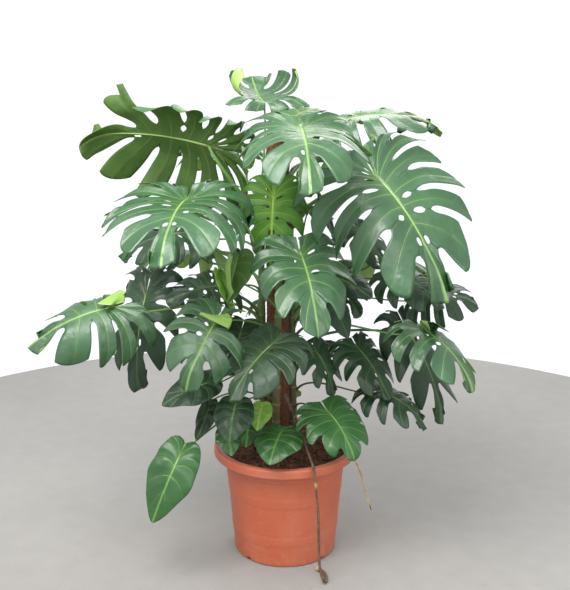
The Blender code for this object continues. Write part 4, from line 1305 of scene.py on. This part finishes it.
def crumb_shapes(radius):
    """Many bumpy balls on the soil: one small grid on a ball, scaled, squashed and turned for each.
    The square root of an even draw spreads their distances evenly over the disc."""
    rng = np.random.default_rng(CRUMB_SEED)
    rings, sides = 5, 7
    polar = np.linspace(0.25, math.pi - 0.25, rings)[:, None]
    turn = np.arange(sides)[None] * 2 * math.pi / sides
    level = np.cos(polar) + 0 * turn
    ball = np.stack([np.sin(polar) * np.cos(turn), np.sin(polar) * np.sin(turn), level], -1)
    ball = np.concatenate([ball.reshape(-1, 3), [(0, 0, 1), (0, 0, -1)]])
    count = rings * sides
    fans = end_fans(0, count - sides, sides, count, count + 1)
    faces = np.concatenate([grid_faces(rings, sides, closed=True), fans])[:, ::-1]
    size = CRUMB_LEAST + (CRUMB_MOST - CRUMB_LEAST) * rng.uniform(0, 1, CRUMBS) ** 2.5
    lumps = ball[None] * (1 + 0.22 * rng.normal(size=(CRUMBS, len(ball), 1)).clip(-1, 1))
    squash = rng.uniform((0.7, 0.5, 0.35), (1.3, 1.0, 0.7), (CRUMBS, 3))
    lumps = lumps * (size[:, None] * squash)[:, None]
    spin = rng.uniform(0, 2 * math.pi, CRUMBS)
    cos, sin = np.cos(spin)[:, None], np.sin(spin)[:, None]
    x = lumps[..., 0] * cos - lumps[..., 1] * sin
    y = lumps[..., 0] * sin + lumps[..., 1] * cos
    away = radius * np.sqrt(rng.uniform(0, 1, CRUMBS))
    at = rng.uniform(0, 2 * math.pi, CRUMBS)
    middle = np.stack([away * np.cos(at), away * np.sin(at), np.zeros(CRUMBS)], -1)
    middle[:, 2] = SOIL_TOP - SOIL_SINK + soil_height(middle)
    points = np.stack([x, y, lumps[..., 2]], -1) + middle[:, None]
    tone = np.repeat(rng.uniform(0.05, 1, CRUMBS), len(ball))
    all_faces = faces[None] + (np.arange(CRUMBS) * len(ball))[:, None, None]
    return shape(points, all_faces.reshape(-1, 3), tone=tone)


def soil_shape():
    """A turned body that fills the pot, with an uneven top, and the crumbs on it."""
    radius = COLLAR_RADIUS - POT_WALL - SOIL_GAP
    step = COLLAR_BOTTOM - POT_WALL
    foot = BASE_RADIUS - POT_WALL - SOIL_GAP
    corners = (
        (0, FLOOR_THICKNESS + 0.0005, 0),
        (foot, FLOOR_THICKNESS + 0.0005, 0.008),
        (radius - 0.006, step, 0.004),
        (radius, step + 0.008, 0.003),
        (radius, SOIL_TOP - 0.004, 0.003),
        (0, SOIL_TOP - SOIL_SINK, 0),
    )
    points, faces = turned(refined(rounded(corners, 4), SOIL_SPACING), SOIL_SEGMENTS)
    top = points[:, 2] > SOIL_TOP - 0.008
    points[:, 2] += soil_height(points) * top
    return join([shape(points, faces, tone=0.0), crumb_shapes(radius - 0.008)])


print(f"lumps of soil are {2000 * CRUMB_LEAST:.1f} to {2000 * CRUMB_MOST:.0f} mm across")

# %% [markdown]
# ## Damp peat
#
# The soil's hollows are painted nearly black, as painted shade, and it is palest on its lumps. The
# lumps carry a tone of their own from the mesh, so neighbours differ, and a noise cut off high
# leaves a few pale flecks of bark.

# %% The soil's finish, and the soil
SOIL_HOLLOW_SHADE = (0.050, 0.021, 0.013)
SOIL_BROWN = (0.200, 0.082, 0.048)
CRUMB_BROWN = (0.300, 0.135, 0.080)
SOIL_FLECK = (0.260, 0.180, 0.110)
SOIL_BUMP = 0.004


def soil_finish():
    """Damp peat: hollows painted nearly black as shade, brown crumbs and a few pale flecks."""
    soil = Finish("soil_damp_peat")
    tone = soil.read("tone")
    clod = soil.noise(95, 5)
    grit = soil.noise(480, 3)
    fleck = soil.step(soil.noise(230, 2), 0.66, 0.74)
    # Painted shade: where the clod noise is low, and the bump sinks, the soil is nearly black
    colour = soil.mix(soil.step(clod, 0.35, 0.65), SOIL_HOLLOW_SHADE, SOIL_BROWN)
    colour = soil.mix(tone * 0.6, colour, CRUMB_BROWN)
    colour = soil.mix(fleck * 0.5, colour, SOIL_FLECK)
    return soil.done(colour, 0.80 + grit * 0.18, clod + grit * 0.5, SOIL_BUMP, specular=0.25)


soil_piece = make_piece("soil_bed", soil_shape(), [soil_finish()], "potting_soil", "soil")
print(f"soil: {len(soil_piece.data.polygons)} triangles, and {CRUMBS} lumps")

# %% [markdown]
# ## The coir pole
#
# The pole is a stake wrapped in a mat of coconut fibre. It reads as coir by two things: a matted,
# lumpy side, and hundreds of stray fibres that stand off it and catch the light. The mat is a tube
# whose radius follows the bumpy field, stretched round the pole as the fibres are wound. The fibres
# are thin tubes, each a short bent path that leaves the mat at a slant.

# %% Coir pole
POLE_FOOT = pole_low[2]
POLE_TOP = pole_high[2]
POLE_RINGS = 300
POLE_SIDES = 84
POLE_DOME = 0.016           # how far below its top the pole starts to round off
MAT_SINK = 0.002            # how far the mat's mean surface lies inside the solid's
MAT_LAYERS = ((0.0013, 0.03, 42), (0.0007, 0.008, 43))
WIND_HEIGHT = 0.0005
WIND_SPACING = 0.011
FIBRES = 900
FIBRE_RADIUS = 0.00035
FIBRE_SEED = 44


def pole_shape():
    """The mat: a tube whose radius is moved by the bumpy field, and by a sine that winds round the
    pole as it climbs. The dome is a square root of the way from the top. The fibres are added."""
    t = np.linspace(0, 1, POLE_RINGS)
    height = POLE_FOOT + (POLE_TOP - 0.001 - POLE_FOOT) * t
    path = np.stack([np.full_like(t, POLE_X), np.full_like(t, POLE_Y), height], -1)
    dome = np.sqrt(np.clip((POLE_TOP - height) / POLE_DOME, 0, 1))
    mat = tube(path, (POLE_RADIUS - MAT_SINK) * (0.45 + 0.55 * dome), POLE_SIDES, tone=0.0)
    points = mat["points"]
    outward = unit((points - (POLE_X, POLE_Y, 0)) * (1, 1, 0))
    angle = np.arctan2(outward[:, 1], outward[:, 0])
    wound = np.sin(points[:, 2] * 2 * math.pi / WIND_SPACING + angle * 3 + 2 * bumps(points, 0.06, 41))
    lumps = relief(points, MAT_LAYERS) + WIND_HEIGHT * wound
    mat["points"] = points + outward * lumps[:, None]
    return join([mat, *fibre_shapes()])


def fibre_shapes():
    """Stray fibres: each a thin tube whose angle and height drift, and whose distance from the axis
    grows as a square, so that its end stands off the mat."""
    rng = np.random.default_rng(FIBRE_SEED)
    strands = []
    share = np.linspace(0, 1, 6)
    for _ in range(FIBRES):
        start = rng.uniform(0, 2 * math.pi)
        level = rng.uniform(SOIL_TOP + 0.01, POLE_TOP - 0.01)
        sweep = rng.uniform(0.25, 1.1) * rng.choice((-1, 1))
        stand = rng.uniform(0.001, 0.006)
        turn = start + sweep * share
        away = POLE_RADIUS - 0.0035 + stand * share**2 + 0.0018 * np.sin(share * 3)
        climb = level + rng.uniform(-0.02, 0.02) * share
        path = np.stack([POLE_X + away * np.cos(turn), POLE_Y + away * np.sin(turn), climb], -1)
        strands.append(tube(path, FIBRE_RADIUS * (1.1 - 0.6 * share), 4, tone=rng.uniform(0.3, 1)))
    return strands


print(f"a pole {POLE_TOP - POLE_FOOT:.2f} m long and {2000 * POLE_RADIUS:.0f} mm thick")

# %% [markdown]
# ## Coconut fibre
#
# Coir has hardly any gloss. Noise stretched along the pole reads as strands, with painted shade in the
# gaps between them. The loose fibres stand out in the light, so they are given a paler tone than
# the mat.

# %% The coir's finish, and the pole
COIR_GAP_SHADE = (0.045, 0.018, 0.010)
COIR_BROWN = (0.200, 0.085, 0.045)
COIR_SHADE = (0.130, 0.050, 0.028)
COIR_PALE = (0.340, 0.170, 0.085)
COIR_BUMP = 0.0025


def coir_finish():
    """Coir: red-brown, with painted shade in the gaps, light fibre streaks and hardly any gloss."""
    coir = Finish("coir_fibre")
    tone = coir.read("tone")
    strand = coir.noise(420, 4, (1, 1, 0.25))
    clump = coir.noise(60, 3)
    # Painted shade: where the strand noise is low, and the bump sinks, the coir is nearly black
    colour = coir.mix(coir.step(strand, 0.35, 0.65), COIR_GAP_SHADE, COIR_BROWN)
    colour = coir.mix(clump * 0.5, colour, COIR_SHADE)
    colour = coir.mix(tone * 0.7, colour, COIR_PALE)
    return coir.done(colour, 0.85 + strand * 0.1, strand + clump * 0.4, COIR_BUMP, specular=0.2)


pole_piece = make_piece("coir_pole_wound", pole_shape(), [coir_finish()], "coir", "coir_pole")
print(f"coir pole: {len(pole_piece.data.polygons)} triangles, {FIBRES} fibres")

# %% [markdown]
# ## The stems
#
# A climbing stem grows in short lengths. Where each leaf has been, a pale ring of scar runs round it
# and the stem swells a little. The old part is corky and brown, and the young part is green. So the
# radius gets a swelling at even steps, and the scar's place is passed on to the finish.

# %% Stems
STEM_SIDES = 28
STEM_RINGS = 320
STEM_SINK = 0.0012          # how far a stem's surface lies inside its solid's between scars
SCAR_SPACING = 0.058
SCAR_SHIFT = 0.013          # from one stem to the next, so that their scars don't line up
SCAR_RISE = 0.0016
BARK_RELIEF = 0.0005


def stem_shape(index):
    """A tube on its helix. Its radius swells by a bell at each scar, thins as a square root just
    below the top, and is rough all over."""
    top = STEMS[index][3]
    height = np.linspace(-STEM_DEPTH, top, STEM_RINGS)
    phase = ((height + SCAR_SHIFT * index) / SCAR_SPACING) % 1
    scar = np.exp(-(((phase - 0.5) / 0.055) ** 2))
    radii = stem_radius(index, height) - STEM_SINK + SCAR_RISE * scar
    radii = radii * np.sqrt(np.clip((top - height) / 0.012, 0.02, 1))
    age = 1 - np.clip(height / top, 0, 1)
    stem = tube(stem_point(index, height), radii, STEM_SIDES, scar=scar, age=age)
    axis = np.repeat(stem_point(index, height), STEM_SIDES, axis=0)
    skin = stem["points"][: len(axis)]
    rough = BARK_RELIEF * bumps(skin * (1, 1, 0.3), 0.010, 51 + index)
    skin += unit(skin - axis) * rough[:, None]
    return stem


print(f"a scar every {1000 * SCAR_SPACING:.0f} mm up each stem")

# %% [markdown]
# ## Bark that ages downwards
#
# The mesh says how far down each point is, and a noise added to it makes the border between green
# and cork ragged. The scars come from the mesh too, so their colour sits on their swelling.

# %% The bark's finish, and the stems
STEM_GREEN = (0.095, 0.170, 0.038)
CORK_BROWN = (0.125, 0.095, 0.045)
CRACK_BROWN = (0.050, 0.040, 0.020)
SCAR_TAN = (0.300, 0.220, 0.120)
BARK_BUMP = 0.0012


def stem_finish():
    """Stem bark: green above, corky brown below, tan scars, and fine cracks along it."""
    stem = Finish("stem_climbing")
    age = stem.read("age")
    scar = stem.read("scar")
    crack = stem.noise(260, 4, (1, 1, 0.2))
    patch = stem.noise(30, 3)
    cork = stem.step(age + patch * 0.6, 0.75, 1.20)
    colour = stem.mix(cork, STEM_GREEN, CORK_BROWN)
    colour = stem.mix(crack * 0.5, colour, CRACK_BROWN)
    colour = stem.mix(scar * 0.65, colour, SCAR_TAN)
    return stem.done(colour, 0.55 + crack * 0.25, crack + scar * 0.3, BARK_BUMP)


stem_bark = stem_finish()
for index, (name, *_) in enumerate(STEMS):
    piece = make_piece(name + "_grown", stem_shape(index), [stem_bark], "stem_bark", name)
    print(f"{name}: {len(piece.data.polygons)} triangles")

# %% [markdown]
# ## The aerial roots
#
# Roots leave the stems in the air and feel their way down. One has gone over the lip and reached the
# floor, where it thickens and curls. It has a tan knuckle half way and a yellow growing end. The
# other hangs free, thin and straw-coloured, with a brown tip. Both follow their solids' routes, with
# knots, swellings and a corky skin.

# %% Roots
# Each knot is across and forward, in shares of the lip's radius, and a height above the lip, or
# above the floor where it says so.
LONG_ROOT = (
    (0.000, 0.413, 0.200), (0.113, 0.574, 0.145), (0.217, 0.704, 0.100), (0.296, 0.826, 0.050),
    (0.361, 0.930, 0.016), (0.400, 1.061, -0.030), (0.413, 1.087, -0.065), (0.439, 1.113, -0.130),
    (0.452, 1.135, 0.108, "floor"), (0.470, 1.148, 0.050, "floor"), (0.517, 1.174, 0.014, "floor"),
    (0.557, 1.087, 0.0072, "floor"), (0.530, 0.913, 0.0070, "floor"), (0.426, 0.791, 0.0068, "floor"),
)
SHORT_ROOT = (
    (0.370, 0.413, 0.135), (0.652, 0.587, 0.085), (0.835, 0.661, 0.040), (0.926, 0.709, 0.014),
    (1.026, 0.730, -0.040), (1.087, 0.730, -0.095), (1.174, 0.717, -0.160),
)
ROOT_STEPS = 16
ROOT_SIDES = 16
LONG_ROOT_RADIUS = 0.0040
LONG_ROOT_END_RADIUS = 0.0066
LONG_ROOT_SWELLS_AT = 0.72  # in shares of the way along it
KNUCKLE = 0.40              # where the knuckle is
KNUCKLE_RISE = 0.0016
SHORT_ROOT_RADIUS = 0.0034
SHORT_ROOT_TIP_RADIUS = 0.0020
ROOT_RELIEF = 0.00025
ROOT_CLEARANCE = 0.0002     # the least height over the floor


def root_path(knots):
    """The smooth path through a root's knots."""
    places = []
    for across, forward, height, *floor in knots:
        up = height if floor else LIP_HEIGHT + height
        places.append((across * LIP_RADIUS, -forward * LIP_RADIUS, up))
    return smooth_path(places, ROOT_STEPS)


def root_shape(knots, radius_at, seed):
    """A tube on the path. Its radius is the given one times a bumpy field near 1, and it closes as
    a square root at its end; then the skin is made rough, and nothing is let under the floor."""
    path = root_path(knots)
    t = np.linspace(0, 1, len(path))
    wander = 1 + 0.10 * bumps(path, 0.035, seed) + 0.05 * bumps(path, 0.010, seed + 1)
    blunt = np.sqrt(np.clip((1 - t) / 0.012, 0.03, 1))
    radii = np.minimum(radius_at(t) * wander, radius_at(t) * 1.02) * blunt
    root = tube(path, radii, ROOT_SIDES, along=t)
    axis = np.concatenate([np.repeat(path, ROOT_SIDES, axis=0), path[:1], path[-1:]])
    points = root["points"]
    rough = ROOT_RELIEF * bumps(points, 0.006, seed + 2)
    points += unit(points - axis) * rough[:, None]
    points[:, 2] = np.maximum(points[:, 2], ROOT_CLEARANCE)
    return root


def long_root_radius(t):
    """Even to the floor, then thicker; and a knuckle on the way down."""
    swollen = np.clip((t - LONG_ROOT_SWELLS_AT) / (1 - LONG_ROOT_SWELLS_AT), 0, 1)
    radius = LONG_ROOT_RADIUS + (LONG_ROOT_END_RADIUS - LONG_ROOT_RADIUS) * swollen
    return radius + KNUCKLE_RISE * np.exp(-(((t - KNUCKLE) / 0.012) ** 2))


def short_root_radius(t):
    """Thins evenly to its tip."""
    return SHORT_ROOT_RADIUS + (SHORT_ROOT_TIP_RADIUS - SHORT_ROOT_RADIUS) * t


long_root = root_shape(LONG_ROOT, long_root_radius, 61)
short_root = root_shape(SHORT_ROOT, short_root_radius, 71)
print(f"roots: {len(long_root['faces']) + len(short_root['faces'])} triangles")

# %% [markdown]
# ## Two root skins
#
# Both roots have the same skin in other colours: two tones in patches drawn out along the root,
# pale specks of cork, and a tip of another colour where the root is still growing.

# %% The roots' finish, and the roots
ROOT_SPECK = (0.420, 0.300, 0.170)
KNUCKLE_TAN = (0.480, 0.320, 0.140)
ROOT_BUMP = 0.0012


def root_finish(name, young, old, tip, tip_start):
    """Root skin: one colour that ages along it, corky specks, and a tip of its own colour."""
    root = Finish(name)
    along = root.read("along")
    cork = root.noise(170, 4, (1, 1, 0.4))
    speck = root.step(root.noise(600, 2), 0.60, 0.70)
    colour = root.mix(root.step(cork, 0.35, 0.68), young, old)
    colour = root.mix(speck * 0.45, colour, ROOT_SPECK)
    before = root.step(along, KNUCKLE - 0.02, KNUCKLE)
    after = root.step(along, KNUCKLE + 0.03, KNUCKLE + 0.01)
    colour = root.mix(before * after * 0.6, colour, KNUCKLE_TAN)
    colour = root.mix(root.step(along, tip_start, tip_start + 0.03), colour, tip)
    return root.done(colour, 0.62 + cork * 0.25, cork + speck * 0.5, ROOT_BUMP)


brown, dark_brown, yellow_tip = (0.140, 0.078, 0.040), (0.060, 0.030, 0.018), (0.420, 0.330, 0.120)
straw, dark_straw, brown_tip = (0.480, 0.340, 0.130), (0.300, 0.190, 0.070), (0.120, 0.060, 0.030)
brown_root = root_finish("root_brown", brown, dark_brown, yellow_tip, 0.955)
straw_root = root_finish("root_straw", straw, dark_straw, brown_tip, 0.93)
make_piece("aerial_root_long_grown", long_root, [brown_root], "root_bark", "aerial_root_long")
make_piece("aerial_root_short_grown", short_root, [straw_root], "root_bark", "aerial_root_short")
print("the long root ends in yellow, and the short one in brown")

# %% [markdown]
# ## Floor, light and camera
#
# The plant stands on a disc of grey concrete, in open and very soft light: a bright pale sky all
# round fills every shadow, a broad light above and in front gives the leaves their gloss, and one
# behind makes the top leaves glow. A few lamps in a closed room would throw harder shadows, and
# leave the inner leaves black. The camera is at standing eye height, three metres away, and looks a
# little down.

# %% Floor
FLOOR_RADIUS = 2.2
FLOOR_SIDES = 180
FLOOR_LEVEL = -0.0005       # just under the pot
CONCRETE_DARK = (0.225, 0.215, 0.203)
CONCRETE_PALE = (0.290, 0.280, 0.267)
CONCRETE_WORN = (0.165, 0.157, 0.148)
CONCRETE_BUMP = 0.0012


def make_floor():
    """One many-sided face: points at (radius cos(angle), radius sin(angle)), with faint clouds and
    worn patches in its tone."""
    angle = np.arange(FLOOR_SIDES) * 2 * math.pi / FLOOR_SIDES
    level = np.full(FLOOR_SIDES, FLOOR_LEVEL)
    edge = np.stack([FLOOR_RADIUS * np.cos(angle), FLOOR_RADIUS * np.sin(angle), level], -1)
    mesh = bpy.data.meshes.new("floor")
    mesh.from_pydata(edge.tolist(), [], [tuple(range(FLOOR_SIDES))])
    floor = bpy.data.objects.new("floor", mesh)
    bpy.context.collection.objects.link(floor)
    finish = Finish("floor_concrete")
    cloud = finish.noise(1.5, 3)
    worn = finish.noise(14, 6)
    grit = finish.noise(160, 3)
    colour = finish.mix(cloud, CONCRETE_DARK, CONCRETE_PALE)
    colour = finish.mix(worn * 0.30, colour, CONCRETE_WORN)
    mesh.materials.append(finish.done(colour, 0.72 + worn * 0.15, grit + worn, CONCRETE_BUMP))


make_floor()
print(f"a floor {2 * FLOOR_RADIUS} m across")

# %% [markdown]
# ## An open, even light
#
# The sky gives most of the light, which is why the shadows are faint. The lamps are large, because
# the size of a lamp sets how soft its highlight is on a waxy leaf.

# %% Light
SKY_COLOUR = (0.95, 0.975, 1.0, 1.0)
SKY_STRENGTH = 1.12
LIGHT_GLOSS = 0.6           # how strongly the lamps show as highlights
# Name, place, the point it faces, size in metres, watts and colour
LIGHTS = (
    ("overhead", (-0.9, -1.6, 3.6), (0, 0, 0.9), 2.2, 200, (1.0, 0.99, 0.97)),
    ("front_fill", (1.8, -3.2, 2.2), (0, 0, 0.8), 2.2, 42, (1.0, 1.0, 1.0)),
    ("behind", (0.8, 2.6, 2.8), (0, 0, 1.1), 2.0, 56, (1.0, 0.99, 0.95)),
)


def add_area_light(name, place, aim, size, power, colour):
    """A square soft light at a place, turned to face a point."""
    data = bpy.data.lights.new(name, "AREA")
    data.size = size
    data.energy = power
    data.specular_factor = LIGHT_GLOSS
    data.color = colour
    light = bpy.data.objects.new(name, data)
    light.location = place
    way = Vector(aim) - Vector(place)
    light.rotation_euler = way.to_track_quat("-Z", "Y").to_euler()
    bpy.context.collection.objects.link(light)


sky = bpy.data.worlds.new("pale_sky")
sky.use_nodes = True
sky.node_tree.nodes["Background"].inputs["Color"].default_value = SKY_COLOUR
sky.node_tree.nodes["Background"].inputs["Strength"].default_value = SKY_STRENGTH
bpy.context.scene.world = sky
for light_row in LIGHTS:
    add_area_light(*light_row)
bpy.context.scene.view_settings.view_transform = "Standard"
print(f"a sky of strength {SKY_STRENGTH}, and {len(LIGHTS)} lamps")

# %% [markdown]
# ## Where it is seen from
#
# A camera close to a plant makes the near leaves swell. Three metres is far enough for true shapes,
# and near enough to look down on the soil.

# %% Camera
CAMERA_DISTANCE = 3.03
CAMERA_HEIGHT = 1.63
CAMERA_DOWN = 14.4          # how far below level it looks
CAMERA_LENS = 61.02         # in millimetres, as the sensor's width is
SENSOR_WIDTH = 36
FARTHEST_SEEN = 200

camera_data = bpy.data.cameras.new("camera")
camera_data.sensor_width = SENSOR_WIDTH
camera_data.lens = CAMERA_LENS
camera_data.clip_end = FARTHEST_SEEN
camera = bpy.data.objects.new("camera", camera_data)
camera.location = (0, -CAMERA_DISTANCE, CAMERA_HEIGHT)
camera.rotation_euler = (math.radians(90 - CAMERA_DOWN), 0, 0)
bpy.context.collection.objects.link(camera)
bpy.context.scene.camera = camera
print(f"camera {CAMERA_DISTANCE} m in front, {CAMERA_HEIGHT} m up")
